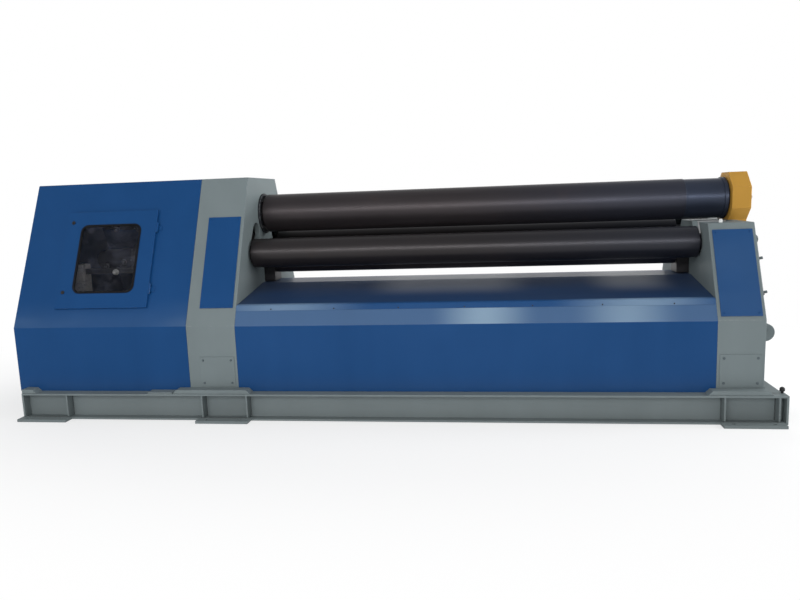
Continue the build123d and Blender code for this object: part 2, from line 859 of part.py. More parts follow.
# Gearboxes and hydraulic motors on the drive shafts
def gearbox_profile(start):
    """Half profile of a planetary gearbox that runs towards the drive end from start."""
    end = start - gearbox_l
    outer = stepped(
        (end, end + gearbox_flange_t, gearbox_end_d),
        (end + gearbox_flange_t, end + stage_ring_at, gearbox_stage_d),
        (end + stage_ring_at, end + stage_ring_at + stage_ring_t, gearbox_end_d),
        (end + stage_ring_at + stage_ring_t, start - gearbox_body_l, gearbox_stage_d),
        (start - gearbox_body_l, start - gearbox_flange_t, gearbox_body_d),
        (start - gearbox_flange_t, start, gearbox_flange_d),
    )[:-1]
    bore_r = drive_shaft_d / 2 + running_fit
    bore_end = x_drive_out - drive_shaft_reach - slide_gap
    return outer + [(start, bore_r), (bore_end, bore_r), (bore_end, 0.0)]


def motor_profile(start):
    """Half profile of a hydraulic motor that runs towards the drive end from start."""
    end = start - motor_l
    return stepped(
        (end, end + motor_cap_l, motor_cap_d),
        (end + motor_cap_l, start - motor_flange_l, motor_body_d),
        (start - motor_flange_l, start, motor_d),
    )


lower_gearbox_start = x_drive_out - lower_gearbox_gap
drive_units = (
    ("upper", upper_axis_z, x_drive_out),
    ("lower", lower_axis_z, lower_gearbox_start),
)
for place, axis_z, start in drive_units:
    with BuildPart() as gearbox:
        revolve(half_profile(gearbox_profile(start), 0.0, axis_z), axis=along(0.0, axis_z))
    write(gearbox, f"{place}_gearbox")

    with BuildPart() as drive_motor:
        face = half_profile(motor_profile(start - gearbox_l), 0.0, axis_z)
        revolve(face, axis=along(0.0, axis_z))
        for distance, dip in motor_fittings:
            spot = Plane(
                origin=(start - gearbox_l - distance, 0, axis_z),
                x_dir=(1, 0, 0),
                z_dir=(0, -cos(radians(dip)), -sin(radians(dip))),
            )
            with BuildSketch(spot):
                Circle(fitting_d / 2)
            extrude(amount=motor_d / 2 + fitting_l)
    write(drive_motor, f"{place}_drive_motor")

# Torque arm on the lower gearbox, and the slotted post that holds it from turning
bar_mid_z = lower_axis_z - torque_bar_drop
ring_start = lower_gearbox_start - gearbox_l - torque_ring_t
with BuildPart() as torque_arm:
    with BuildSketch(across(ring_start)):
        with Locations((0, lower_axis_z)):
            Circle(gearbox_end_d / 2)
        with BuildLine():
            Polyline(
                (0, lower_axis_z),
                (-torque_bar_y - torque_bar_w / 2, bar_mid_z + torque_bar_h / 2),
                (-torque_bar_y - torque_bar_w / 2, bar_mid_z - torque_bar_h / 2),
                (0, lower_axis_z - gearbox_end_d / 2),
                close=True,
            )
        make_face()
        with Locations((0, lower_axis_z)):
            Circle(motor_d / 2 + slide_gap, mode=Mode.SUBTRACT)
    extrude(amount=torque_ring_t)
    with BuildSketch(across(post_left + slot_spare, -torque_bar_y, bar_mid_z)):
        Rectangle(torque_bar_w, torque_bar_h)
    extrude(amount=ring_start + torque_ring_t - post_left - slot_spare)
write(torque_arm, "torque_arm")

with BuildPart() as torque_post:
    with BuildSketch(upright(-torque_bar_y + post_depth / 2)):
        with BuildLine():
            Polyline(
                (post_left, post_top_z),
                (post_left + post_top_w, post_top_z),
                (post_left - post_lean + post_base_w, beam_h),
                (post_left - post_lean, beam_h),
                close=True,
            )
        make_face()
    extrude(amount=post_depth)
    slot_floor = bar_mid_z - torque_bar_h / 2 - slot_spare
    with BuildSketch(across(post_left - post_lean, -torque_bar_y, (slot_floor + post_top_z) / 2)):
        Rectangle(torque_bar_w + 2 * torque_slot_gap, post_top_z - slot_floor)
    extrude(amount=post_lean + post_base_w, mode=Mode.SUBTRACT)
    with BuildSketch(Plane((post_foot_mid, -torque_bar_y, beam_h))):
        Rectangle(post_base_w + post_foot_margin, post_depth + 2 * post_foot_margin)
    extrude(amount=post_foot_t)
write(torque_post, "torque_post")

# Oil tank with its lid, filler, pump set and valves
tank_mid = (tank_left + tank_right) / 2
tank_top = beam_h + tank_h + lid_t
filler_x = tank_right - filler_d
filler_y = -tank_w / 2 + 2 * filler_d
with BuildPart() as oil_tank:
    with BuildSketch(Plane((tank_mid, 0, beam_h))):
        RectangleRounded(tank_l, tank_w, lid_over)
    extrude(amount=tank_h)
    with BuildSketch(Plane((tank_mid, 0, beam_h + tank_wall))):
        Rectangle(tank_l - 2 * lid_over, tank_w - 2 * lid_over)
    extrude(amount=tank_h - tank_wall, mode=Mode.SUBTRACT)
    with BuildSketch(Plane((tank_mid, 0, beam_h + tank_h))):
        Rectangle(tank_l + 2 * lid_over, tank_w + 2 * lid_over)
        with Locations((filler_x - tank_mid, filler_y)):
            Circle(filler_d / 3, mode=Mode.SUBTRACT)
    extrude(amount=lid_t)
write(oil_tank, "oil_tank")

with BuildPart() as filler_cap:
    with BuildSketch(Plane((filler_x, filler_y, tank_top))):
        Circle(filler_d / 2)
    extrude(amount=filler_h)
    chamfer(filler_cap.edges().group_by(Axis.Z)[-1], length=filler_h / 6)
write(filler_cap, "tank_filler_cap")

pump_axis_z = tank_top + pump_motor_lift
pump_axis = along(pump_motor_y, pump_axis_z)
pump_start = tank_mid - (pump_motor_l + pump_l) / 2
pump_face = pump_start + pump_motor_l
pump_motor_profile = stepped(
    (pump_start, pump_start + pump_cowl_l, pump_cowl_d),
    (pump_start + pump_cowl_l, pump_face, pump_motor_d),
)
pump_profile = stepped(
    (pump_face, pump_face + pump_flange_t, pump_cowl_d),
    (pump_face + pump_flange_t, pump_face + pump_bell_l, pump_bell_d),
    (pump_face + pump_bell_l, pump_face + pump_l, pump_d),
)
with BuildPart() as pump_motor:
    revolve(half_profile(pump_motor_profile, pump_motor_y, pump_axis_z), axis=pump_axis)
    with BuildSketch(Plane((pump_start + pump_motor_l / 2, pump_motor_y, tank_top))):
        Rectangle(pump_foot_l, pump_foot_w)
    extrude(amount=pump_motor_lift)
write(pump_motor, "pump_motor")

with BuildPart() as hydraulic_pump:
    revolve(half_profile(pump_profile, pump_motor_y, pump_axis_z), axis=pump_axis)
write(hydraulic_pump, "hydraulic_pump")

with BuildPart() as manifold:
    with BuildSketch(Plane((tank_mid, -manifold_y, tank_top))):
        Rectangle(manifold_l, manifold_w)
    extrude(amount=manifold_h)
    chamfer(manifold.edges().filter_by(Axis.Z), length=manifold_h / 12)
write(manifold, "valve_manifold")

with BuildPart() as valves:
    with BuildSketch(Plane((tank_mid, -manifold_y, tank_top + manifold_h))):
        with GridLocations(manifold_l / valve_count, 0, valve_count, 1):
            Rectangle(valve_w, valve_l)
    extrude(amount=valve_h)
write(valves, "solenoid_valves")

# Drive cover: folded sheet over the drive, with a closed end and a door opening
door_mid_x = x_drive_out - door_right_inset - door_w / 2
door_plane = slope(door_mid_x, door_mid_z, -1)
opening_w = door_w - door_lap - door_latch_lap
opening_dx = (door_latch_lap - door_lap) / 2
latch_spots = [(-door_w / 2 + latch_inset, height) for height in latch_heights]
with BuildPart() as drive_cover:
    with BuildSketch(across(x_cover_end)):
        with BuildLine():
            FilletPolyline(*outline(drive_top_z), radius=fold_r)
            offset(amount=sheet_t, side=Side.RIGHT)
        make_face()
    extrude(amount=cover_len)
    with BuildSketch(across(x_cover_end)):
        with BuildLine():
            FilletPolyline(*outline(drive_top_z), radius=fold_r, close=False)
            Line((fold_half_depth, beam_h), (-fold_half_depth, beam_h))
        make_face()
    extrude(amount=sheet_t)
    with BuildSketch(door_plane):
        with Locations((opening_dx, 0)):
            RectangleRounded(opening_w, door_h - 2 * door_lap, door_lap)
        with Locations(*latch_spots):
            Circle(latch_hole_d / 2)
    extrude(amount=-2 * sheet_t, mode=Mode.SUBTRACT)
write(drive_cover, "drive_cover")

# Inspection door: a shallow pan with a window
window_plane = door_plane.offset(door_gap)
hinge_reach = hinge_knuckle_d / 2 + hinge_play
hinge_x = door_w / 2 + hinge_reach
hinge_z = door_gap + door_depth
hinge_middle = hinge_l / 2
with BuildPart() as door:
    with BuildSketch(window_plane):
        RectangleRounded(door_w, door_h, panel_corner_r)
    extrude(amount=door_depth)
    with BuildSketch(window_plane):
        Rectangle(door_w - 2 * sheet_t, door_h - 2 * sheet_t)
    extrude(amount=door_depth - sheet_t, mode=Mode.SUBTRACT)
    with BuildSketch(window_plane):
        with Locations((window_dx, window_dy)):
            RectangleRounded(window_w, window_h, window_r)
        with Locations(*latch_spots):
            Circle(latch_stud_d / 2 + slide_gap)
    extrude(amount=door_depth, mode=Mode.SUBTRACT)
write(door, "inspection_door")

seal_base = door_plane.offset(door_gap + door_depth + seal_proud - seal_depth)
glass_base = seal_base.offset((seal_depth - glass_t) / 2)
inner_w, inner_h, inner_r = window_w - 2 * seal_w, window_h - 2 * seal_w, window_r - seal_w
glass_w, glass_h, glass_r = inner_w + 2 * glass_bite, inner_h + 2 * glass_bite, inner_r + glass_bite
with BuildPart() as window_seal:
    with BuildSketch(seal_base):
        with Locations((window_dx, window_dy)):
            RectangleRounded(window_w, window_h, window_r)
            RectangleRounded(inner_w, inner_h, inner_r, mode=Mode.SUBTRACT)
    extrude(amount=seal_depth)
    with BuildSketch(glass_base):
        with Locations((window_dx, window_dy)):
            RectangleRounded(glass_w, glass_h, glass_r)
    extrude(amount=glass_t, mode=Mode.SUBTRACT)
write(window_seal, "window_seal")

with BuildPart() as window:
    with BuildSketch(glass_base):
        with Locations((window_dx, window_dy)):
            RectangleRounded(glass_w, glass_h, glass_r)
    extrude(amount=glass_t)
write(window, "inspection_window")


# Door hinges: knuckles on the door, brackets and pins on the cover
def hinge_plane(height):
    """Plane square to the hinge line at a height up the slope from the door's middle, local Y inwards."""
    spot = door_plane.from_local_coords((hinge_x, height, hinge_z))
    return Plane(origin=spot, x_dir=(1, 0, 0), z_dir=door_plane.y_dir)


with BuildPart() as hinge_brackets:
    for height in (-hinge_offset, hinge_offset):
        with BuildSketch(hinge_plane(height - hinge_middle / 2)):
            Circle(hinge_knuckle_d / 2)
            with Locations((hinge_knuckle_d / 4, hinge_z / 2)):
                Rectangle(hinge_knuckle_d / 2, hinge_z)
            with Locations((hinge_leaf_w / 2, hinge_z - sheet_t / 2)):
                Rectangle(hinge_leaf_w, sheet_t)
            Circle(hinge_pin_d / 2, mode=Mode.SUBTRACT)
        extrude(amount=hinge_middle)
write(hinge_brackets, "door_hinge_brackets")

with BuildPart() as hinge_pins:
    for height in (-hinge_offset, hinge_offset):
        with BuildSketch(hinge_plane(height - hinge_l / 2)):
            Circle(hinge_pin_d / 2)
        extrude(amount=hinge_l)
write(hinge_pins, "door_hinge_pins")

with BuildPart() as hinge_knuckles:
    knuckle_l = (hinge_l - hinge_middle) / 2 - hinge_play
    for height in (-hinge_offset, hinge_offset):
        for start in (height - hinge_l / 2, height + hinge_middle / 2 + hinge_play):
            with BuildSketch(hinge_plane(start)):
                Circle(hinge_knuckle_d / 2)
                with Locations((-hinge_reach / 2, hinge_knuckle_d / 4)):
                    Rectangle(hinge_reach, hinge_knuckle_d / 2)
                Circle(hinge_pin_d / 2 + running_fit, mode=Mode.SUBTRACT)
            extrude(amount=knuckle_l)
write(hinge_knuckles, "door_hinge_knuckles")

# Quarter-turn latches
latch_base = door_plane.offset(door_gap + door_depth + slide_gap)
for spot, name in zip(latch_spots, ("upper_latch", "lower_latch")):
    with BuildPart() as latch:
        with BuildSketch(latch_base):
            with Locations(spot):
                Circle(latch_head_d / 2)
        extrude(amount=latch_head_t)
        with BuildSketch(latch_base.offset(latch_head_t / 2)):
            with Locations(spot):
                Rectangle(latch_slot, latch_head_d)
        extrude(amount=latch_head_t, mode=Mode.SUBTRACT)
        with BuildSketch(latch_base):
            with Locations(spot):
                Circle(latch_stud_d / 2)
        extrude(amount=-latch_stud_l)
    write(latch, name)

# Drop head: octagonal housing, arm, pivot hub and slotted lever
pivot_x = x_idle_out + pivot_out
arm_in = x_idle_out + arm_gap
pin_x, pin_z = pivot_x + lever_pin_out, pivot_z + lever_pin_up
lever_r = hypot(lever_pin_out, lever_pin_up)
lever_up = (lever_pin_out / lever_r, lever_pin_up / lever_r)
lever_plane = Plane(
    origin=(pivot_x, lever_t / 2, pivot_z), x_dir=(lever_up[0], 0, lever_up[1]), z_dir=(0, -1, 0)
)
hub_gap_half = tilt_barrel_d / 2 + cheek_gap
slot_half = clevis_pin_d / 2 + lever_play
lever_half = slot_half + lever_margin
with BuildPart() as drop_head:
    with BuildSketch(across(head_in, 0, upper_axis_z)):
        RegularPolygon(head_width / 2, head_sides, major_radius=False, rotation=180 / head_sides)
    extrude(amount=head_l)
    chamfer(drop_head.edges().group_by(Axis.X)[-1], length=head_chamfer)
    with BuildSketch(upright(arm_w / 2)):
        with BuildLine():
            Polyline(
                (arm_in, pivot_z),
                (arm_in, upper_axis_z),
                (head_out - head_chamfer, upper_axis_z),
                (head_out - head_chamfer, pivot_z),
                close=True,
            )
        make_face()
    extrude(amount=arm_w)
    for hub_end in (arm_w / 2, -hub_gap_half):
        with BuildSketch(upright(hub_end, pivot_x, pivot_z)):
            Circle(pivot_hub_r)
        extrude(amount=arm_w / 2 - hub_gap_half)
    with BuildSketch(lever_plane):
        with Locations((lever_slot_out / 2, 0)):
            SlotCenterToCenter(lever_slot_out, 2 * lever_half)
    extrude(amount=lever_t)
    with BuildSketch(lever_plane):
        with Locations(((lever_slot_in + lever_slot_out) / 2, 0)):
            SlotCenterToCenter(lever_slot_out - lever_slot_in, 2 * slot_half)
    extrude(amount=lever_t, mode=Mode.SUBTRACT)
    with BuildSketch(upright(arm_w / 2, pivot_x, pivot_z)):
        Circle(pivot_pin_d / 2 + running_fit)
    extrude(amount=arm_w, mode=Mode.SUBTRACT)
    with BuildSketch(across(head_in, 0, upper_axis_z)):
        Circle(bush_d / 2)
    extrude(amount=bush_start + taper_l, mode=Mode.SUBTRACT)
    with BuildSketch(across(head_in, 0, upper_axis_z)):
        Circle(end_cover_spigot_d / 2)
    extrude(amount=head_l, mode=Mode.SUBTRACT)
write(drop_head, "drop_head")

bush_profile = [
    (taper_start, taper_big_d / 2 + taper_gap),
    (taper_start, bush_d / 2),
    (taper_end, bush_d / 2),
    (taper_end, taper_small_d / 2 + taper_gap),
]
with BuildPart() as drop_bush:
    revolve(half_profile(bush_profile, 0.0, upper_axis_z), axis=along(0.0, upper_axis_z))
write(drop_bush, "drop_head_bush")

end_cover_profile = stepped(
    (head_out - end_cover_spigot, head_out, end_cover_spigot_d),
    (head_out, head_out + end_cover_t, end_cover_d),
)
with BuildPart() as drop_cover:
    revolve(half_profile(end_cover_profile, 0.0, upper_axis_z), axis=along(0.0, upper_axis_z))
    chamfer(drop_cover.edges().group_by(Axis.X)[-1], length=end_cover_t / 4)
write(drop_cover, "drop_head_cover")

# Pivot lugs and tilt cylinder bracket on the idle frame's outer plate
lug_inner_y = arm_w / 2 + pivot_lug_gap
tilt_foot_x = x_idle_out + tilt_foot_out
tilt_lug_inner_y = tilt_rod_d / 2 + cheek_gap
lug_rows = (
    (pivot_x, pivot_z, pivot_lug_r, pivot_lug_h, pivot_pin_d, lug_inner_y, pivot_lug_t, "pivot_lugs"),
    (
        tilt_foot_x,
        tilt_foot_z,
        tilt_lug_r,
        tilt_lug_h,
        tilt_pin_d,
        tilt_lug_inner_y,
        tilt_lug_t,
        "tilt_bracket",
    ),
)
for eye_x, eye_z, eye_r, lug_h, pin_d, inner_y, lug_t, name in lug_rows:
    with BuildPart() as lugs:
        with BuildSketch(upright(-inner_y, eye_x, eye_z)):
            with BuildLine():
                Polyline(
                    (x_idle_out - eye_x, -lug_h / 2),
                    (x_idle_out - eye_x, lug_h / 2),
                    (0, eye_r),
                    (0, -eye_r),
                    close=True,
                )
            make_face()
            Circle(eye_r)
            Circle(pin_d / 2, mode=Mode.SUBTRACT)
        extrude(amount=lug_t)
        mirror(about=Plane.XZ)
    write(lugs, name)

with BuildPart() as head_pins:
    for eye_x, eye_z, eye_r, lug_h, pin_d, inner_y, lug_t, name in lug_rows:
        pin_half = inner_y + lug_t + cheek_gap
        with BuildSketch(upright(pin_half, eye_x, eye_z)):
            Circle(pin_d / 2)
        extrude(amount=2 * pin_half)
write(head_pins, "drop_head_pins")

# Tilt cylinder: the rod stands on the bracket, the barrel pulls the slotted lever
tilt_len = hypot(pin_x - tilt_foot_x, pin_z - tilt_foot_z)
tilt_dir = ((pin_x - tilt_foot_x) / tilt_len, 0.0, (pin_z - tilt_foot_z) / tilt_len)


def tilt_section(distance):
    """Plane square to the tilt cylinder at a distance up from its foot."""
    origin = (tilt_foot_x + tilt_dir[0] * distance, 0, tilt_foot_z + tilt_dir[2] * distance)
    return Plane(origin=origin, x_dir=(0, 1, 0), z_dir=tilt_dir)


barrel_top = tilt_len - tilt_barrel_drop
barrel_foot = barrel_top - tilt_barrel_l
with BuildPart() as tilt_rod:
    with BuildSketch(tilt_section(tilt_pin_d / 2)):
        Circle(tilt_rod_d / 2)
    extrude(amount=barrel_foot + tilt_gland_l + slot_spare - tilt_pin_d / 2)
    with BuildSketch(upright(tilt_rod_d / 2, tilt_foot_x, tilt_foot_z)):
        Circle(tilt_eye_r)
    extrude(amount=tilt_rod_d)
    with BuildSketch(upright(tilt_rod_d / 2, tilt_foot_x, tilt_foot_z)):
        Circle(tilt_pin_d / 2)
    extrude(amount=tilt_rod_d, mode=Mode.SUBTRACT)
    with BuildSketch(tilt_section(barrel_foot + tilt_gland_l + slot_spare)):
        Circle(tilt_piston_d / 2)
    extrude(amount=tilt_piston_l)
write(tilt_rod, "tilt_cylinder_rod")

cheek_inner = lever_t / 2 + cheek_gap
cheek_l = tilt_barrel_drop + tilt_gland_l
cheek_plane = Plane(
    origin=(pin_x, cheek_inner + cheek_t, pin_z),
    x_dir=(-tilt_dir[0], 0, -tilt_dir[2]),
    z_dir=(0, -1, 0),
)
with BuildPart() as tilt_barrel:
    with BuildSketch(tilt_section(barrel_foot)):
        Circle(tilt_barrel_d / 2)
    extrude(amount=tilt_barrel_l)
    for shift in (0.0, cheek_t + 2 * cheek_inner):
        with BuildSketch(cheek_plane.offset(shift)):
            Circle(cheek_r)
            with Locations((cheek_l / 2, 0)):
                Rectangle(cheek_l, cheek_w)
            Circle(clevis_pin_d / 2, mode=Mode.SUBTRACT)
        extrude(amount=cheek_t)
    with BuildSketch(tilt_section(barrel_foot)):
        Circle(tilt_rod_d / 2 + running_fit)
    extrude(amount=tilt_gland_l, mode=Mode.SUBTRACT)
    with BuildSketch(tilt_section(barrel_foot + tilt_gland_l)):
        Circle(tilt_piston_d / 2 + running_fit)
    extrude(amount=tilt_barrel_l - 2 * tilt_gland_l, mode=Mode.SUBTRACT)
    for distance in (barrel_foot + tilt_gland_l / 2, barrel_top - tilt_gland_l / 2):
        port = tilt_section(distance)
        side_way = Plane(origin=port.origin, x_dir=(0, 1, 0), z_dir=port.y_dir * -1)
        with BuildSketch(side_way.offset(tilt_piston_d / 2 + running_fit)):
            Circle(tilt_port_d / 2)
        extrude(amount=(tilt_barrel_d - tilt_piston_d) / 2 + tilt_port_l)
write(tilt_barrel, "tilt_cylinder_barrel")

with BuildPart() as clevis_pin:
    with BuildSketch(upright(cheek_inner + cheek_t + cheek_gap, pin_x, pin_z)):
        Circle(clevis_pin_d / 2)
    extrude(amount=2 * (cheek_inner + cheek_t + cheek_gap))
write(clevis_pin, "tilt_clevis_pin")
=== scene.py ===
"""Looks of a four-roll plate rolling machine: finishes, softened edges, fittings, light and camera."""

import json
import logging
from collections.abc import Callable, Iterable, Iterator, Mapping, Sequence
from dataclasses import dataclass
from enum import Enum
from itertools import product
from math import cos, pi, radians, sin
from typing import ClassVar, NamedTuple, Optional, Union

import bmesh
import bpy
from bmesh.types import BMEdge, BMesh, BMFace, BMVert
from bpy.types import ID, Material, Mesh, NodeSocket, Object, World
from mathutils import Matrix, Vector

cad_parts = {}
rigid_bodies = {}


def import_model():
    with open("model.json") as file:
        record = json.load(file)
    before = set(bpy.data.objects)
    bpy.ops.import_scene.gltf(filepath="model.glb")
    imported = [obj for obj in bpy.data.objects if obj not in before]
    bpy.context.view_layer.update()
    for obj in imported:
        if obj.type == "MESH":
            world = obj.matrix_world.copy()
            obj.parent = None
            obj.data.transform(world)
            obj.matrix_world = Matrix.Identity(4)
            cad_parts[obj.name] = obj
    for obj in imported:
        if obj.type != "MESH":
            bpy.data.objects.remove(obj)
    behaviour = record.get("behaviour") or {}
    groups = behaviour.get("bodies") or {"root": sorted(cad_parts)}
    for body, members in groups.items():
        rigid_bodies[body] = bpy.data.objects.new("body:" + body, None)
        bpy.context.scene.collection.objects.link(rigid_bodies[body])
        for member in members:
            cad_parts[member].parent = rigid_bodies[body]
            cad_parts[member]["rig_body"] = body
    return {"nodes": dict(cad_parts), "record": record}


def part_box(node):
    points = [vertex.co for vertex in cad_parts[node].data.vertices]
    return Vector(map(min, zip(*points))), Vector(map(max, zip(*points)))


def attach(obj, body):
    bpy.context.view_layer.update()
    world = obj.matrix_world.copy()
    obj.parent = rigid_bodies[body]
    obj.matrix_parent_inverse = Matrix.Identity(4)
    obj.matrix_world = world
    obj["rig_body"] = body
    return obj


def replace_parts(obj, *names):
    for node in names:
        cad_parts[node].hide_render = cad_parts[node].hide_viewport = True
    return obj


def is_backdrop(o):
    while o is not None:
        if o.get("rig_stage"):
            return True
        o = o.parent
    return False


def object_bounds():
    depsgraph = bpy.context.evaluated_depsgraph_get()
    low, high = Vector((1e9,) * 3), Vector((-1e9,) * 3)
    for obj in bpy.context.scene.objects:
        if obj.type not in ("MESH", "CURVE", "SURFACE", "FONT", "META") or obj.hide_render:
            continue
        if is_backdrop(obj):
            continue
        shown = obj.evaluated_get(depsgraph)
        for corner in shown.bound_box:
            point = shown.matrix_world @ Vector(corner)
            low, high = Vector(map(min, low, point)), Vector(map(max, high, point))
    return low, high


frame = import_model()
CAD_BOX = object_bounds()
LOG = logging.getLogger("plate_roll")

Colour = tuple[float, float, float]
Point = Union[Vector, Sequence[float]]
Profile = Sequence[tuple[float, float]]
Seam = tuple[Point, Point]
Element = Union[BMVert, BMFace]
Number = Union["Signal", float]
Entry = Union["Signal", float, Sequence[float]]
Edges = Mapping["Edge", Sequence[str]]

# Linear colours
BLUE: Colour = (0.0070, 0.049, 0.154)
# Tint of the painted sheen and reflections on the aprons, lip and idle panels, and of the paler foot of the
# cover's slope
PALE_BLUE: Colour = (0.245, 0.345, 0.435)
GREY: Colour = (0.150, 0.180, 0.186)
YELLOW: Colour = (0.425, 0.229, 0.041)
ROLL: Colour = (0.034, 0.029, 0.031)
# Tint of the painted shade and dark reflection on the aprons' top sheet under the rolls
APRON_TOP_SHADE: Colour = (0.033, 0.034, 0.040)
# Tint of the painted reflections along the front apron's ridge
REFLECTION_WHITE: Colour = (0.36, 0.38, 0.41)
WHITE: Colour = (1.0, 1.0, 1.0)

# Directions and places in the shared frame
LEFT = Vector((-1.0, 0.0, 0.0))
RIGHT = Vector((1.0, 0.0, 0.0))
UP = Vector((0.0, 0.0, 1.0))
HERE = Matrix()
ALONG_X = Matrix(((0, 0, 1, 0), (1, 0, 0, 0), (0, 1, 0, 0), (0, 0, 0, 1)))

# Metres: corners this close are joined, on CAD copies and at the poles of turned forms
JOIN = 1e-5
POLE = 1e-6

# Metres: ground neck of the upper roll, and yellow head above its grey arm
NECK_LENGTH = 0.045
HEAD_HEIGHT = 0.387

# Metres: foot and top of the chamfer along the aprons
CHAMFER_FOOT = 0.694
CHAMFER_TOP = 0.842

# Mesh attribute that marks rounded edges
WEAR = "edge_wear"


class Edge(Enum):
    """How far the sharp edges of a piece are rounded, in metres."""

    SHEET = 0.0010
    PLATE = 0.0022
    HEAVY = 0.0040
    TURNED = 0.0018
    SEAL = 0.0020


class Head(Enum):
    """Form of a screw's head, by the number of its flats."""

    HEX = 6
    SOCKET = 24


class Side(Enum):
    """Front or rear of the machine, as the sign of Y there."""

    FRONT = -1
    REAR = 1

    @classmethod
    def of(cls, box: "Block") -> "Side":
        """Side that a box lies on."""
        return cls.FRONT if box.mid.y < 0 else cls.REAR

    @property
    def way(self) -> Vector:
        """Direction out of the machine on this side."""
        return Vector((0.0, self.value, 0.0))

    def face(self, box: "Block") -> float:
        """Y of a box's face towards this side."""
        return box.low.y if self is Side.FRONT else box.high.y


def reached(seed: Element, next_to: Callable[[Element], Iterable[Element]]) -> set[Element]:
    """Everything that hangs together with one part of a mesh.

    Args:
        seed: Vertex or face to start from.
        next_to: Gives the neighbours of a vertex or face.

    Returns:
        All that was reached, with the seed.
    """
    found, newest = set(), {seed}
    while newest:
        found |= newest
        newest = {other for item in newest for other in next_to(item)} - found
    return found


def across_edges(face: BMFace) -> Iterator[BMFace]:
    """Faces next to a face across the edges where just two faces meet."""
    return (other for line in face.edges if line.is_manifold for other in line.link_faces)


def merged_copy(node: str) -> BMesh:
    """Copy of a CAD node's mesh, with its triangles joined and solids parted that touch along an edge.

    Args:
        node: Name of the CAD node.

    Returns:
        The copy, to be freed by its user.
    """
    mesh = bmesh.new()
    mesh.from_mesh(frame["nodes"][node].data)
    bmesh.ops.remove_doubles(mesh, verts=mesh.verts[:], dist=JOIN)
    left = set(mesh.faces)
    while left:
        solid = reached(left.pop(), across_edges)
        left -= solid
        if left and not all(line.is_manifold for face in solid for line in face.edges):
            bmesh.ops.split(mesh, geom=list(solid))
            left = {face for face in left if face.is_valid}
    return mesh


@dataclass(frozen=True)
class Block:
    """Box of a CAD node at rest, in metres."""

    low: Vector
    high: Vector

    @classmethod
    def of(cls, node: str) -> "Block":
        """Box of the named node."""
        return cls(*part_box(node))

    @classmethod
    def parts(cls, node: str) -> list["Block"]:
        """Boxes of the separate solids of a node.

        Args:
            node: Name of the CAD node.

        Returns:
            One box for each solid, from low X to high X.
        """
        mesh = merged_copy(node)
        left = set(mesh.verts)
        boxes = []
        while left:
            solid = reached(left.pop(), lambda vert: (line.other_vert(vert) for line in vert.link_edges))
            left -= solid
            sides = list(zip(*(vert.co for vert in solid)))
            boxes.append(cls(Vector(map(min, sides)), Vector(map(max, sides))))
        mesh.free()
        return sorted(boxes, key=lambda box: tuple(box.low))

    @property
    def mid(self) -> Vector:
        """Middle of the box."""
        return (self.low + self.high) / 2

    @property
    def size(self) -> Vector:
        """Length of the box along each axis."""
        return self.high - self.low

    def span(self, axis: str, inset: float = 0.0) -> tuple[float, float]:
        """Ends of the box along the named axis, drawn in by an inset."""
        return getattr(self.low, axis) + inset, getattr(self.high, axis) - inset


def linked(name: str, data: ID) -> Object:
    """New object of the scene.

    Args:
        name: Name of the object.
        data: Its mesh, lamp or camera.

    Returns:
        The object, at the origin.
    """
    made = bpy.data.objects.new(name, data)
    bpy.context.scene.collection.objects.link(made)
    return made


def facing(point: Point, normal: Point) -> Matrix:
    """Place on a surface, with local Z along the surface's normal."""
    return Matrix.Translation(point) @ Vector(normal).to_track_quat("Z", "Y").to_matrix().to_4x4()


def ring_places(centre: Point, axis: Point, radius: float, count: int) -> Iterator[Matrix]:
    """Yield places evenly round a circle, all facing along its axis.

    Args:
        centre: Middle of the circle.
        axis: Direction that the places face.
        radius: Radius of the circle.
        count: Number of places.
    """
    hub = facing(centre, axis)
    for step in range(count):
        turn = Matrix.Rotation(2 * pi * step / count, 4, "Z")
        yield hub @ turn @ Matrix.Translation(RIGHT * radius)


def maths(operation: str, swap: bool = False) -> Callable[["Signal", Number], "Signal"]:
    """Make a method of Signal that adds one Math node.

    Args:
        operation: Blender's name of the operation.
        swap: Whether the other value comes first.

    Returns:
        The method.
    """

    def method(self: "Signal", other: Number) -> "Signal":
        """Result of the operation on this signal and another value."""
        first, second = (other, self) if swap else (self, other)
        return self.graph.add("Math", {0: first, 1: second}, operation=operation)

    return method


class Signal:
    """Output socket of a shader node that takes part in Python expressions."""

    def __init__(self, graph: "Graph", socket: NodeSocket) -> None:
        """Wrap one output socket of a graph."""
        self.graph = graph
        self.socket = socket

    __add__ = __radd__ = maths("ADD")
    __sub__ = maths("SUBTRACT")
    __rsub__ = maths("SUBTRACT", swap=True)
    __mul__ = __rmul__ = maths("MULTIPLY")
    __truediv__ = maths("DIVIDE")
    __gt__ = maths("GREATER_THAN")
    most = maths("MAXIMUM")

    def clamp(self) -> "Signal":
        """This value, kept from zero to one."""
        return self.graph.add("Clamp", {"Value": self})

    def ramp(self, low: float, high: float) -> "Signal":
        """Smooth rise between two values, or a fall where high is below low.

        Args:
            low: Value at which the result is zero.
            high: Value at which the result is one.

        Returns:
            The result, from zero to one.
        """
        if high < low:
            return 1.0 - self.ramp(high, low)
        limits = {"Value": self, "From Min": low, "From Max": high}
        return self.graph.add("MapRange", limits, interpolation_type="SMOOTHSTEP")


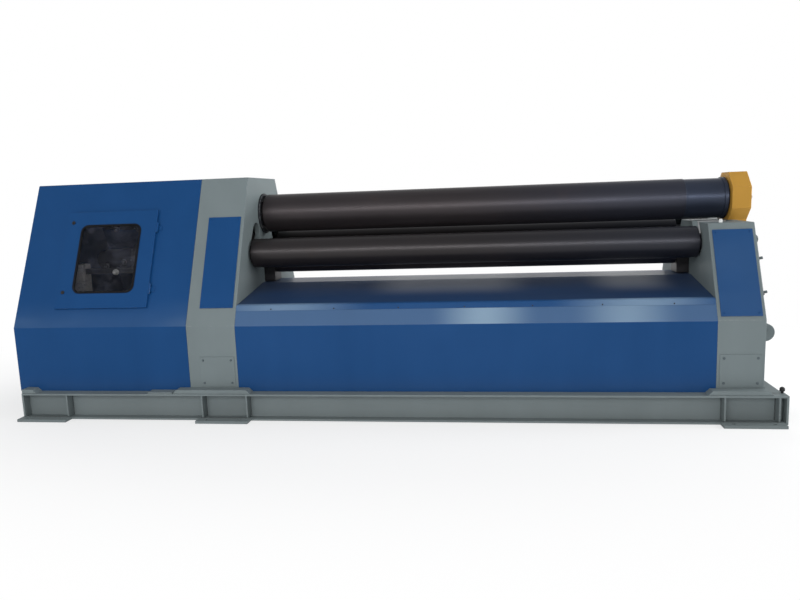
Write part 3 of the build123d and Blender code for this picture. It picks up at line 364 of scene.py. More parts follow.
class Graph:
    """Node tree of a material or of the world, with one way to add a node."""

    noise_roughness: ClassVar[float] = 0.55

    def __init__(self, owner: Union[Material, World], coordinates: str = "Object") -> None:
        """Empty the owner's tree and give it a place to start from.

        Args:
            owner: Material or world.
            coordinates: Kind of the place; Object is the machine's own frame in metres.
        """
        owner.use_nodes = True
        self.owner = owner
        self.tree = owner.node_tree
        self.tree.nodes.clear()
        self.at = self.add("TexCoord", out=coordinates)

    @classmethod
    def of_material(cls, name: str) -> "Graph":
        """Graph of a new material."""
        return cls(bpy.data.materials.new(name))

    def add(
        self, kind: str, inputs: Optional[Mapping[Union[str, int], Entry]] = None, out: Union[str, int] = 0,
        **settings: object,
    ) -> Optional[Signal]:
        """Add a node of any type.

        Args:
            kind: Blender's name of the node without its ShaderNode prefix.
            inputs: Values or links of its sockets, by name or number.
            out: Output socket to return.
            settings: Properties of the node, set before its sockets.

        Returns:
            The chosen output socket, where the node has any.
        """
        node = self.tree.nodes.new(f"ShaderNode{kind}")
        for key, value in settings.items():
            setattr(node, key, value)
        for key, value in (inputs or {}).items():
            socket = node.inputs[key]
            if isinstance(value, Signal):
                self.tree.links.new(value.socket, socket)
            elif socket.type == "RGBA" and len(value) == 3:
                socket.default_value = (*value, 1.0)
            else:
                socket.default_value = value
        return Signal(self, node.outputs[out]) if node.outputs else None

    def axis(self, name: str) -> Signal:
        """One coordinate of the place."""
        return self.add("SeparateXYZ", {0: self.at}, out=name)

    def stretched(self, scale: Sequence[float]) -> Signal:
        """The place, multiplied axis by axis."""
        return self.add("VectorMath", {0: self.at, 1: scale}, operation="MULTIPLY")

    def noise(self, scale: float, detail: float = 3.0, place: Optional[Signal] = None) -> Signal:
        """Noise about one half at a number of grains to the metre, by the plain place or another."""
        settings = {"Scale": scale, "Detail": detail, "Roughness": self.noise_roughness}
        return self.add("TexNoise", {"Vector": place or self.at, **settings})

    def worn(self) -> Signal:
        """One on the rounded edges of a piece, and else zero."""
        return self.add("Attribute", out="Fac", attribute_name=WEAR)

    def mix(self, factor: Number, first: Entry, second: Entry) -> Signal:
        """Blend of two colours, by the numbers of the Mix node's colour sockets."""
        return self.add("Mix", {0: factor, 6: first, 7: second}, out=2, data_type="RGBA")

    def bump(self, height: Signal, strength: float, distance: float) -> Signal:
        """Normal of a surface that is raised by a height."""
        return self.add("Bump", {"Height": height, "Strength": strength, "Distance": distance})

    def surface(self, inputs: Mapping[str, Entry]) -> Material:
        """Material whose Principled shader has the given values or links."""
        self.add("OutputMaterial", {"Surface": self.add("BsdfPrincipled", inputs)})
        return self.owner


def shade(colour: Colour, factor: float) -> Colour:
    """Colour made lighter or darker by a factor."""
    return tuple(part * factor for part in colour)


@dataclass(frozen=True)
class Finish:
    """One finish of the machine's surfaces."""

    name: str
    colour: Colour
    roughness: float

    def material(self) -> Material:
        """New material of this finish."""
        raise NotImplementedError


class Glint(NamedTuple):
    """Soft patch of painted reflection: where it starts and ends along X, how far it fades out, and its
    strength.
    """

    start: float
    end: float
    fade: float
    strength: float


@dataclass(frozen=True)
class Band:
    """Stretch of height where the enamel turns towards a tint, in cloudy patches or in soft glints along X;
    on the aprons, lip and idle panels this paints sheen, reflection or shade into the colour.
    """

    tint: Colour
    amount: float
    low: float
    high: float
    fade_low: float = 0.003
    fade_high: float = 0.003
    from_x: float = -100.0
    patchy: float = 0.42
    glints: Sequence[Glint] = ()

    def share(self, g: Graph) -> Signal:
        """How far the paint has gone over to the band's tint.

        Args:
            g: Graph of the paint.

        Returns:
            Share of the tint, from zero to one.
        """
        height, along = g.axis("Z"), g.axis("X")
        patches = None
        # Where glints are given, the patches are painted reflections at fixed places along X.
        for glint in self.glints:
            rise = along.ramp(glint.start - glint.fade, glint.start)
            light = rise * along.ramp(glint.end + glint.fade, glint.end) * glint.strength
            patches = patches.most(light) if patches else light
        if not patches:
            patches = g.noise(1.0, 2.0, g.stretched((0.9, 3.0, 3.0))).ramp(0.36, 0.64)
        rise = height.ramp(self.low, self.low + self.fade_low)
        fall = height.ramp(self.high, self.high - self.fade_high)
        return rise * fall * (along > self.from_x) * (1.0 - self.patchy + patches * self.patchy) * self.amount


@dataclass(frozen=True)
class Paint(Finish):
    """Sprayed enamel with slow mottling, runs, orange peel, floor dust and rubbed edges."""

    specular: float = 0.05
    coat: float = 0.10
    mottle: float = 0.07
    dust: float = 0.14
    rub: float = 0.35
    dust_height: float = 0.36
    dust_tint: Colour = (0.15, 0.145, 0.135)
    bare_tint: Colour = (0.22, 0.23, 0.235)
    bands: Sequence[Band] = ()
    low_tint: Optional[Colour] = None
    low_below: float = 0.0

    def material(self) -> Material:
        """Enamel as it stands on the machine.

        Returns:
            The new material.
        """
        g = Graph.of_material(self.name)
        height = g.axis("Z")
        cloud = g.noise(1.3, 4.0)
        runs = g.noise(1.0, place=g.stretched((6.0, 6.0, 0.6)))
        grain = g.noise(52.0)
        peel = g.noise(330.0, 1.0)
        tone = ((cloud * 0.65 + runs * 0.35 - 0.32) / 0.36).clamp()
        colour = g.mix(tone, shade(self.colour, 1 - self.mottle), shade(self.colour, 1 + self.mottle))
        if self.low_tint:
            colour = g.mix(height > self.low_below, self.low_tint, colour)
        for band in self.bands:
            colour = g.mix(band.share(g), colour, band.tint)
        dusty = height.ramp(self.dust_height, 0.0) * (grain * 1.4).clamp() * self.dust
        colour = g.mix(dusty, colour, self.dust_tint)
        bare = g.worn() * grain.ramp(0.50, 0.60) * self.rub
        return g.surface({
            "Base Color": g.mix(bare, colour, self.bare_tint),
            "Roughness": (self.roughness + (grain - 0.5) * 0.02 + (tone - 0.5) * 0.10 + dusty * 0.4).clamp(),
            "Specular IOR Level": self.specular,
            "Coat Weight": ((0.7 + tone * 0.6) * self.coat * (1.0 - dusty)).clamp(),
            "Coat Roughness": 0.16,
            "Normal": g.bump(peel, 0.04, 0.0004),
        })


@dataclass(frozen=True)
class RollSteel(Finish):
    """Forged roll barrel: dark oiled skin with turning rings, long smears and a ground neck."""

    smear_tint: Colour = (0.042, 0.036, 0.038)
    rust_tint: Colour = (0.050, 0.032, 0.026)
    ground_tint: Colour = (0.030, 0.038, 0.060)
    ground_from: float = 100.0
    film_reach: tuple[float, float] = (0.3, 2.2)
    film: float = 0.6
    ring_pitch: float = 0.006
    # Factor on all tints; below one it darkens the steel as painted shade
    tone: float = 1.0
    specular: float = 0.2

    def material(self) -> Material:
        """Steel with its oil and its marks of turning.

        Returns:
            The new material.
        """
        g = Graph.of_material(self.name)
        along = g.axis("X")
        rings = g.add("TexNoise", {"W": along / self.ring_pitch, "Detail": 2.0}, noise_dimensions="1D")
        smear = g.noise(1.0, 4.0, g.stretched((1.0, 14.0, 14.0)))
        cloud = g.noise(5.0, 4.0)
        tints = (self.colour, self.smear_tint, self.rust_tint, self.ground_tint)
        skin, smeared, rusty, clean = (shade(tint, self.tone) for tint in tints)
        colour = g.mix((smear * 0.7 + rings * 0.3).ramp(0.40, 0.66), skin, smeared)
        colour = g.mix(cloud.ramp(0.54, 0.76) * 0.30, colour, rusty)
        colour = g.mix(along.ramp(*self.film_reach) * self.film, colour, clean)
        ground = along > self.ground_from
        rough = self.roughness + (smear - 0.5) * 0.14 + (cloud - 0.5) * 0.08 - ground * 0.05
        return g.surface({
            "Base Color": g.mix(ground, colour, clean),
            "Metallic": 0.5,
            "Specular IOR Level": self.specular,
            "Roughness": rough.clamp(),
            "Normal": g.bump(rings * 0.6 + smear * 0.4, 0.05, 0.0004),
        })


@dataclass(frozen=True)
class Metal(Finish):
    """Bare machined metal with brushed grain and a film of oil."""

    tarnish: Colour = (0.16, 0.14, 0.12)
    grain: Sequence[float] = (40.0, 40.0, 400.0)
    stain: float = 0.35

    def material(self) -> Material:
        """Metal with its grain and stains.

        Returns:
            The new material.
        """
        g = Graph.of_material(self.name)
        brushed = g.noise(1.0, 2.0, g.stretched(self.grain))
        stained = g.noise(14.0, 4.0).ramp(0.48, 0.72) * self.stain
        colour = g.mix(brushed, shade(self.colour, 0.86), shade(self.colour, 1.10))
        return g.surface({
            "Base Color": g.mix(stained, colour, self.tarnish),
            "Metallic": 1.0,
            "Roughness": (self.roughness + (brushed - 0.5) * 0.2 + stained * 0.25).clamp(),
            "Normal": g.bump(brushed, 0.05, 0.0003),
        })


@dataclass(frozen=True)
class Casting(Finish):
    """Painted casting: sand-rough skin, oil stains and chipped edges."""

    stain_tint: Colour = (0.018, 0.017, 0.016)
    bare_tint: Colour = (0.26, 0.25, 0.24)

    def material(self) -> Material:
        """Casting with its stains and chips.

        Returns:
            The new material.
        """
        g = Graph.of_material(self.name)
        sand = g.noise(210.0, 4.0)
        cloud = g.noise(6.0, 4.0)
        colour = g.mix(cloud.ramp(0.42, 0.70) * 0.6, self.colour, self.stain_tint)
        return g.surface({
            "Base Color": g.mix(g.worn() * sand.ramp(0.46, 0.56) * 0.6, colour, self.bare_tint),
            "Roughness": (self.roughness + (cloud - 0.5) * 0.35).clamp(),
            "Normal": g.bump(sand, 0.25, 0.0008),
        })


@dataclass(frozen=True)
class Moulded(Finish):
    """Moulded plastic or rubber with a fine texture and handling marks."""

    texture: float = 0.12
    specular: float = 0.25

    def material(self) -> Material:
        """Plastic or rubber with its marks.

        Returns:
            The new material.
        """
        g = Graph.of_material(self.name)
        pebble = g.noise(520.0, 2.0)
        marks = g.noise(24.0, 4.0)
        return g.surface({
            "Base Color": g.mix(marks.ramp(0.40, 0.70), shade(self.colour, 0.8), shade(self.colour, 1.25)),
            "Specular IOR Level": self.specular,
            "Roughness": (self.roughness + (marks - 0.5) * 0.25).clamp(),
            "Normal": g.bump(pebble, self.texture, 0.0004),
        })


@dataclass(frozen=True)
class Pane(Finish):
    """Clear window sheet with a dusty film."""

    film_tint: Colour = (0.030, 0.034, 0.056)
    clear_alpha: float = 0.10
    film_alpha: float = 0.22

    def material(self) -> Material:
        """Sheet with its film.

        Returns:
            The new material.
        """
        g = Graph.of_material(self.name)
        film = (g.noise(9.0, 5.0) * 0.6 + g.noise(60.0) * 0.4).ramp(0.42, 0.66)
        return g.surface({
            "Base Color": g.mix(film, self.colour, self.film_tint),
            "Roughness": (self.roughness + film * 0.22).clamp(),
            "Alpha": (self.clear_alpha + film * self.film_alpha).clamp(),
        })


class Palette:
    """Materials of the machine by the record's slot names, with variants for single nodes."""

    def __init__(self, finishes: Mapping[str, Finish], variants: Mapping[str, Finish]) -> None:
        """Build every material once.

        Args:
            finishes: Finish of each slot.
            variants: Finish of each node that differs from its slot.
        """
        self.slots = {row["node"]: row["material_slot"] for row in frame["record"]["subparts"]}
        self.by_slot = {slot: finish.material() for slot, finish in finishes.items()}
        self.by_node = {node: finish.material() for node, finish in variants.items()}

    def for_node(self, node: str) -> Material:
        """Material of a CAD node."""
        return self.by_node.get(node) or self.by_slot[self.slots[node]]


def round_off(mesh: BMesh, lines: list[BMEdge], width: float) -> list[BMFace]:
    """Round edges of a mesh.

    Args:
        mesh: The mesh.
        lines: Its edges to round.
        width: How far they are rounded.

    Returns:
        The new faces.
    """
    made = bmesh.ops.bevel(
        mesh, geom=lines, offset=width, affect="EDGES", segments=2, profile=0.5, material=-1,
        clamp_overlap=True,
    )
    return made["faces"]


class Shape:
    """Mesh under construction, put together from parts that bmesh operators make."""

    corner_above: ClassVar[float] = radians(30.0)

    def __init__(self, mesh: Optional[BMesh] = None) -> None:
        """Start with a mesh, or with nothing."""
        self.mesh = bmesh.new() if mesh is None else mesh

    def baked(self, name: str) -> Mesh:
        """Turn this shape into mesh data.

        Args:
            name: Name of the data.

        Returns:
            The new data.
        """
        data = bpy.data.meshes.new(name)
        self.mesh.to_mesh(data)
        self.mesh.free()
        return data

    def repeat(self, other: "Shape", places: Iterable[Matrix]) -> "Shape":
        """Add a copy of another shape at each place.

        Args:
            other: The shape to copy, which is used up.
            places: Where the copies go.

        Returns:
            This shape.
        """
        pattern = other.baked("pattern")
        for place in places:
            count = len(self.mesh.verts)
            self.mesh.from_mesh(pattern)
            self.mesh.verts.ensure_lookup_table()
            bmesh.ops.transform(self.mesh, matrix=place, verts=self.mesh.verts[count:])
        bpy.data.meshes.remove(pattern)
        return self

    def turned(self, profile: Profile, place: Matrix, steps: int = 32) -> "Shape":
        """Add a turned form.

        Args:
            profile: Radius and height along the local Z axis, from one pole to the other.
            place: Where the form stands.
            steps: Number of flats round it.

        Returns:
            This shape.
        """
        part = Shape()
        mesh = part.mesh
        points = [mesh.verts.new((radius, 0.0, height)) for radius, height in profile]
        lines = [mesh.edges.new(pair) for pair in zip(points, points[1:])]
        bmesh.ops.spin(
            mesh, geom=points + lines, cent=(0, 0, 0), axis=UP, angle=2 * pi, steps=steps, use_merge=True
        )
        bmesh.ops.remove_doubles(mesh, verts=mesh.verts[:], dist=POLE)
        bmesh.ops.recalc_face_normals(mesh, faces=mesh.faces[:])
        return self.repeat(part, [place])

    def prism(self, outline: Profile, depth: float, place: Matrix, edge: float) -> "Shape":
        """Add a prism with rounded edges.

        Args:
            outline: Corners in the local XY plane.
            depth: Length along local Z.
            place: Where the form stands.
            edge: Width of its rounded edges.

        Returns:
            This shape.
        """
        part = Shape()
        mesh = part.mesh
        base = mesh.faces.new([mesh.verts.new((x, y, 0.0)) for x, y in outline])
        raised = bmesh.ops.extrude_face_region(mesh, geom=[base], use_keep_orig=True)
        top = [item for item in raised["geom"] if isinstance(item, BMVert)]
        bmesh.ops.translate(mesh, verts=top, vec=UP * depth)
        bmesh.ops.recalc_face_normals(mesh, faces=mesh.faces[:])
        round_off(mesh, [line for line in mesh.edges if line.calc_face_angle(0.0) > self.corner_above], edge)
        return self.repeat(part, [place])


class Part:
    """Small part that is fitted in several places, facing along local Z."""

    def shape(self) -> Shape:
        """Mesh of one part, standing on its place."""
        raise NotImplementedError

    def at(self, places: Iterable[Matrix]) -> Shape:
        """Copies of the part at places."""
        return Shape().repeat(self.shape(), places)


@dataclass(frozen=True)
class Bar(Part):
    """Rectangular bar with rounded edges."""

    length: float
    width: float
    height: float
    edge: float

    def shape(self) -> Shape:
        """Mesh of one bar."""
        x, y = self.length / 2, self.width / 2
        return Shape().prism([(-x, -y), (x, -y), (x, y), (-x, y)], self.height, HERE, self.edge)


@dataclass(frozen=True)
class Ring(Part):
    """Turned ring whose outer edges are bevelled at its foot and at its top."""

    inner: float
    outer: float
    low: float
    high: float
    foot: float = 0.0
    top: float = 0.0
    flats: int = 32

    def shape(self) -> Shape:
        """Mesh of one ring.

        Returns:
            The ring, round local Z.
        """
        inner, outer, low, high = self.inner, self.outer, self.low, self.high
        rise = [(outer - self.foot, low), (outer, low + self.foot)]
        fall = [(outer, high - self.top), (outer - self.top, high)]
        return Shape().turned([(inner, low), *rise, *fall, (inner, high), (inner, low)], HERE, self.flats)


@dataclass(frozen=True)
class Screw(Part):
    """Screw head with its washer."""

    washer_share: ClassVar[float] = 0.22
    washer_lip: ClassVar[float] = 0.3
    washer_flats: ClassVar[int] = 24
    head_lip: ClassVar[float] = 0.14
    socket_share: ClassVar[float] = 0.56
    socket_depth: ClassVar[float] = 0.55

    head: Head
    width: float
    height: float
    washer: float = 0.0

    def shape(self) -> Shape:
        """Mesh of one screw.

        Returns:
            The screw, standing on its place.
        """
        made = Shape()
        base = 0.0
        if self.washer:
            base = self.height * self.washer_share
            lip, outer = base * self.washer_lip, self.washer / 2
            profile = [(0.0, 0.0), (outer, 0.0), (outer, base - lip), (outer - lip, base), (0.0, base)]
            made.turned(profile, HERE, self.washer_flats)
        radius = self.width / 2 / cos(pi / self.head.value)
        top = base + self.height
        lip = self.height * self.head_lip
        profile = [(0.0, base), (radius, base), (radius, top - lip), (radius - lip, top)]
        if self.head is Head.SOCKET:
            socket, floor = radius * self.socket_share, top - self.height * self.socket_depth
            profile += [(socket, top), (socket, floor), (0.0, floor)]
        else:
            profile += [(0.0, top)]
        return made.turned(profile, HERE, self.head.value)

    def round_cover(self, node: str, inset: float = 0.026, count: int = 8) -> Shape:
        """Screws round the outer face of a round cover.

        Args:
            node: CAD node of the cover.
            inset: Distance of the screws from its edge.
            count: Number of screws.

        Returns:
            Mesh of all screws.
        """
        cover = Block.of(node)
        centre = (cover.high.x, cover.mid.y, cover.mid.z)
        return self.at(ring_places(centre, RIGHT, cover.size.z / 2 - inset, count))


@dataclass(frozen=True)
class Weld:
    """Fillet weld laid as a row of overlapping drops."""

    radius: float = 0.006
    pitch: float = 0.007

    def laid(self, seams: Iterable[Seam]) -> Shape:
        """Lay a bead along each seam.

        Args:
            seams: First and last point of each seam.

        Returns:
            Mesh of all beads.
        """
        places = []
        for start, end in seams:
            path = Vector(end) - Vector(start)
            count = max(2, round(path.length / self.pitch))
            places += [Matrix.Translation(Vector(start) + path * step / count) for step in range(count + 1)]
        drop = Shape()
        bmesh.ops.create_icosphere(drop.mesh, subdivisions=1, radius=self.radius)
        return Shape().repeat(drop, places)


class Fitting(NamedTuple):
    """Piece to make: name, mesh, slot of its finish, body that it rides on and, if any, its own material."""

    name: str
    shape: Shape
    slot: str
    body: str = "machine"
    material: Optional[Material] = None


class Bench:
    """Makes finished pieces, puts them on their bodies and reports them."""

    smooth_below: ClassVar[float] = radians(50.0)
    bevel_above: ClassVar[float] = radians(35.0)
    fold_above: ClassVar[float] = radians(12.0)
    flat_below: ClassVar[float] = radians(0.5)
    chain_turn: ClassVar[float] = radians(40.0)
    fold_face: ClassVar[float] = 0.015
    short_edge: ClassVar[float] = 1.5
    sliver: ClassVar[float] = 2e-5

    def __init__(self, palette: Palette) -> None:
        """Keep the palette that dresses the pieces."""
        self.palette = palette

    def add(self, fitting: Fitting) -> Object:
        """Make a dressed piece and put it on its body.

        Args:
            fitting: The piece, whose shape is used up.

        Returns:
            The new object.
        """
        name, shape, slot, body, material = fitting
        data = shape.baked(name)
        data.materials.append(material or self.palette.by_slot[slot])
        data.shade_smooth()
        data.set_sharp_from_angle(angle=self.smooth_below)
        piece = linked(name, data)
        piece.modifiers.new("even_normals", "WEIGHTED_NORMAL").keep_sharp = True
        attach(piece, body)
        LOG.info("%s on %s, %d faces", name, body, len(data.polygons))
        return piece

    def runs_on(self, line: BMEdge, sharp: set[BMEdge]) -> bool:
        """Tell whether a short edge is part of a smooth chain of sharp edges.

        Args:
            line: The edge.
            sharp: All sharp edges of its mesh.

        Returns:
            True where the chain goes on at both ends without a sharp turn.
        """
        for vert in line.verts:
            ahead = vert.co - line.other_vert(vert).co
            others = (other for other in vert.link_edges if other in sharp and other is not line)
            turns = (ahead.angle(other.other_vert(vert).co - vert.co, pi) for other in others)
            if not any(turn < self.chain_turn for turn in turns):
                return False
        return True

    def is_sharp(self, line: BMEdge) -> bool:
        """Tell whether an edge is a sharp corner, or a shallow fold between two large faces."""
        large = min((face.calc_area() for face in line.link_faces), default=0.0) > self.fold_face
        return line.calc_face_angle(0.0) > (self.fold_above if large else self.bevel_above)

    def soften(self, node: str, edge: Edge) -> Object:
        """Stand a copy with rounded edges in for a CAD node.

        Args:
            node: Name of the CAD node.
            edge: How far its edges are rounded.

        Returns:
            The piece that replaces the node.
        """
        mesh = merged_copy(node)
        bmesh.ops.dissolve_limit(mesh, angle_limit=self.flat_below, verts=mesh.verts[:], edges=mesh.edges[:])
        sharp = [line for line in mesh.edges if self.is_sharp(line)]
        known = set(sharp)
        short = self.short_edge * edge.value
        lines = [line for line in sharp if line.calc_length() > short or self.runs_on(line, known)]
        worn = mesh.loops.layers.float.new(WEAR)
        for face in round_off(mesh, lines, edge.value):
            for corner in face.loops:
                corner[worn] = 1.0
        bmesh.ops.dissolve_degenerate(mesh, dist=self.sliver, edges=mesh.edges[:])
        body = frame["nodes"][node]["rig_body"]
        dress = self.palette.for_node(node)
        copy = Fitting(f"{node}_finished", Shape(mesh), self.palette.slots[node], body, dress)
        piece = self.add(copy)
        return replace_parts(piece, node)

    def dress_rest(self) -> None:
        """Give every CAD node that still shows the material of its slot."""
        for node, piece in frame["nodes"].items():
            if piece.hide_render:
                continue
            for slot in piece.material_slots:
                slot.link = "OBJECT"
                slot.material = self.palette.for_node(node)
            LOG.info("%s keeps its CAD mesh", node)


@dataclass(frozen=True)
class Lamp:
    """Rectangular lamp of the studio."""

    name: str
    at: Point
    aim: Point
    size: Sequence[float]
    watts: float
    shines: bool = True
    mirrors: bool = True

    def hang(self) -> None:
        """Create the lamp, aimed and kept out of the camera's view."""
        data = bpy.data.lights.new(self.name, "AREA")
        data.shape = "RECTANGLE"
        data.size, data.size_y = self.size
        data.energy = self.watts
        lamp = linked(self.name, data)
        lamp.location = self.at
        lamp.rotation_euler = (Vector(self.aim) - Vector(self.at)).to_track_quat("-Z", "Y").to_euler()
        lamp.visible_camera = False
        lamp.visible_diffuse = self.shines
        lamp.visible_glossy = self.mirrors


@dataclass(frozen=True)
class Studio:
    """Camera at the photograph's angle, pale floor, soft lamps and white surround."""

    camera_at: Point = (0.794062, -5.666812, 1.604204)
    yaw: float = radians(-8.07)
    pitch: float = radians(8.53)
    roll: float = radians(2.12)
    focal_px: float = 691.77
    image_width_px: float = 800.0
    sensor_mm: float = 36.0
    floor_half: float = 40.0
    floor_drop: float = 0.001
    floor_tint: Colour = (0.88, 0.88, 0.88)
    floor_white: float = 0.60
    floor_scale: Sequence[float] = (0.62, 1.0, 1.0)
    white_reach: tuple[float, float] = (1.7, 3.4)
    ambient: float = 0.60
    ambient_tint: Colour = (0.97, 0.985, 1.0)
    ceiling: tuple[float, float] = (0.80, 0.35)
    lamps: Sequence[Lamp] = (
        Lamp("front_bank", (-1.0, -7.5, 3.7), (-0.4, 0.0, 1.0), (7.0, 2.5), 225.0, mirrors=False),
        Lamp("low_front", (-1.0, -6.5, 0.7), (-0.4, 0.0, 0.5), (7.0, 0.6), 70.0, mirrors=False),
        Lamp("front_strip", (0.6, -6.2, 2.9), (0.6, 0.0, 1.3), (9.0, 0.5), 240.0, shines=False),
        Lamp("right_fill", (8.0, -0.4, 3.2), (-0.8, 0.0, 1.4), (2.5, 1.6), 320.0),
        Lamp("rear_bank", (1.4, 5.2, 3.4), (-0.2, 0.0, 1.3), (6.0, 2.0), 380.0, mirrors=False),
    )

    def set_camera(self) -> None:
        """Create the camera and make it the scene's own."""
        data = bpy.data.cameras.new("photo_camera")
        data.sensor_width = self.sensor_mm
        data.lens = self.focal_px * self.sensor_mm / self.image_width_px
        camera = linked("photo_camera", data)
        ahead = Vector((sin(self.yaw) * cos(self.pitch), cos(self.yaw) * cos(self.pitch), -sin(self.pitch)))
        right = Vector((cos(self.yaw), -sin(self.yaw), 0.0))
        level = Matrix((right, right.cross(ahead), -ahead)).transposed()
        turned = level @ Matrix.Rotation(-self.roll, 3, "Z")
        camera.matrix_world = Matrix.Translation(self.camera_at) @ turned.to_4x4()
        bpy.context.scene.camera = camera

    def lay_floor(self) -> None:
        """Lay a floor that keeps the shadow and turns white away from the machine."""
        sheet = Shape()
        bmesh.ops.create_grid(sheet.mesh, x_segments=1, y_segments=1, size=self.floor_half)
        bmesh.ops.translate(sheet.mesh, verts=sheet.mesh.verts[:], vec=UP * -self.floor_drop)
        g = Graph.of_material("pale_floor")
        reach = g.stretched(self.floor_scale)
        away = g.add("VectorMath", {0: reach}, out="Value", operation="LENGTH").ramp(*self.white_reach)
        plain = g.add("BsdfDiffuse", {"Color": self.floor_tint})
        white = g.add("Emission", {"Color": WHITE, "Strength": 1.0})
        share = (self.floor_white + away * (1.0 - self.floor_white)) * self._seen_rays(g)
        g.add("OutputMaterial", {"Surface": g.add("MixShader", {0: share, 1: plain, 2: white})})
        data = sheet.baked("floor")
        data.materials.append(g.owner)
        floor = linked("floor", data)
        floor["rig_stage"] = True

    @staticmethod
    def _seen_rays(g: Graph) -> Signal:
        """One for camera, mirror and glass rays, and else zero."""
        rays = [g.add("LightPath", out=f"Is {kind} Ray") for kind in ("Camera", "Glossy", "Transmission")]
        return rays[0].most(rays[1]).most(rays[2])

    def surround(self) -> None:
        """Soft light from all round, white where it is seen, with a dimmer ceiling in reflections."""
        g = Graph(bpy.data.worlds.new("soft_surround"), "Generated")
        soft = g.add("Background", {"Color": self.ambient_tint, "Strength": self.ambient})
        white = g.add("Background", {"Color": WHITE, "Strength": 1.0})
        wall = g.axis("Z").ramp(*self.ceiling)
        share = g.add("LightPath", out="Is Camera Ray").most(self._seen_rays(g) * wall)
        g.add("OutputWorld", {"Surface": g.add("MixShader", {0: share, 1: soft, 2: white})})
        bpy.context.scene.world = g.owner

    def build(self) -> None:
        """Set up the whole studio."""
        bpy.context.scene.view_settings.view_transform = "Standard"
        self.set_camera()
        self.lay_floor()
        self.surround()
        for lamp in self.lamps:
            lamp.hang()


class Assembly:
    """Part of the machine: CAD nodes whose edges are rounded, and fittings that are added to them."""

    edges: ClassVar[Edges]

    def build(self, bench: Bench) -> None:
        """Soften the CAD nodes, then add the fittings.

        Args:
            bench: Makes the pieces.
        """
        for edge, nodes in self.edges.items():
            for node in nodes:
                bench.soften(node, edge)
        for fitting in self.fittings():
            bench.add(fitting)

    def fittings(self) -> Iterator[Fitting]:
        """Fittings of the assembly; a plain one has none."""
        return iter(())


@dataclass(frozen=True)
class BaseFrame(Assembly):
    """Beams, cross members, feet and toe plates under the machine."""

    edges: ClassVar[Edges] = {
        Edge.PLATE: (
            "base_front_beam", "base_rear_beam", "base_cross_members", "base_stiffeners", "base_foot_plates",
            "frame_toe_plates",
        ),
        Edge.TURNED: ("base_end_knob",),
    }
    weld: Weld = Weld()
    # Darker beads lay painted shade along the corners between stiffeners, feet and webs
    weld_shade_finish: Paint = Paint("weld_shade_enamel", shade(GREY, 0.4), 0.5, coat=0.03)
    web_half: float = 0.006
    flange: float = 0.022

    def fittings(self) -> Iterator[Fitting]:
        """Yield the welds of the stiffeners and the feet."""
        shaded_welds = self.weld_shade_finish.material()
        for name, seams in (("stiffener_welds", self.stiffener_seams()), ("foot_welds", self.foot_seams())):
            yield Fitting(name, self.weld.laid(seams), "grey_paint", material=shaded_welds)

    def stiffener_seams(self) -> Iterator[Seam]:
        """Yield the seams between each web stiffener and the web of its beam."""
        beams = [Block.of("base_front_beam"), Block.of("base_rear_beam")]
        for plate in Block.parts("base_stiffeners"):
            beam = min(beams, key=lambda box: abs(box.mid.y - plate.mid.y))
            out = 1 if plate.mid.y > beam.mid.y else -1
            y = beam.mid.y + out * self.web_half
            low, high = beam.span("z", self.flange)
            for x in plate.span("x"):
                if beam.low.x < x < beam.high.x:
                    yield (x, y, low), (x, y, high)

    def foot_seams(self) -> Iterator[Seam]:
        """Yield the seams between the foot plates and the flanges that they stand out from."""
        edge = Block.of("base_rear_beam").high.y
        for foot in Block.parts("base_foot_plates"):
            y = edge * Side.of(foot).value
            left, right = foot.span("x", self.flange)
            yield (left, y, foot.high.z), (right, y, foot.high.z)


@dataclass(frozen=True)
class EndFrames(Assembly):
    """Drive frame and idle frame with their panels, plates and guides."""

    edges: ClassVar[Edges] = {
        Edge.HEAVY: ("drive_frame", "idle_frame"),
        Edge.SHEET: ("frame_slope_panels", "frame_access_plates"),
        Edge.TURNED: ("grease_cap", "lift_cylinders", "upper_bearing_rings"),
        Edge.PLATE: ("tie_beam", "guide_rails", "cylinder_seats", "upper_bearing_cover"),
    }
    plate_inset: float = 0.026
    panel_inset: float = 0.022
    panel_t: float = 0.006
    panel_normal: tuple[float, float] = (0.909, 0.418)
    plate_screw: Screw = Screw(Head.HEX, 0.013, 0.006, 0.018)
    panel_screw: Screw = Screw(Head.SOCKET, 0.010, 0.003)
    cover_screw: Screw = Screw(Head.SOCKET, 0.020, 0.010)

    def fittings(self) -> Iterator[Fitting]:
        """Yield the screws of the plates, the panels and the bearing cover."""
        yield Fitting("access_plate_screws", self.plate_screw.at(self.plate_corners()), "tank_paint")
        yield Fitting("panel_screws", self.panel_screw.at(self.panel_corners()), "blue_paint")
        cover_screws = self.cover_screw.round_cover("upper_bearing_cover")
        yield Fitting("bearing_cover_screws", cover_screws, "black_steel")

    def plate_corners(self) -> Iterator[Matrix]:
        """Yield places at the corners of the lower access plates."""
        for plate in Block.parts("frame_access_plates"):
            side = Side.of(plate)
            for x, z in product(plate.span("x", self.plate_inset), plate.span("z", self.plate_inset)):
                yield facing((x, side.face(plate), z), side.way)

    def panel_corners(self) -> Iterator[Matrix]:
        """Yield places at the corners of the blue slope panels."""
        out, up = self.panel_normal
        for panel in Block.parts("frame_slope_panels"):
            side = Side.of(panel)
            inner = Side(-side.value).face(panel)
            foot = Vector((0.0, side.face(panel), panel.low.z + up * self.panel_t))
            head = Vector((0.0, inner + side.value * out * self.panel_t, panel.high.z))
            inset = (head - foot).normalized() * self.panel_inset
            for x, point in product(panel.span("x", self.panel_inset), (foot + inset, head - inset)):
                yield facing(point + RIGHT * x, side.way * out + UP * up)


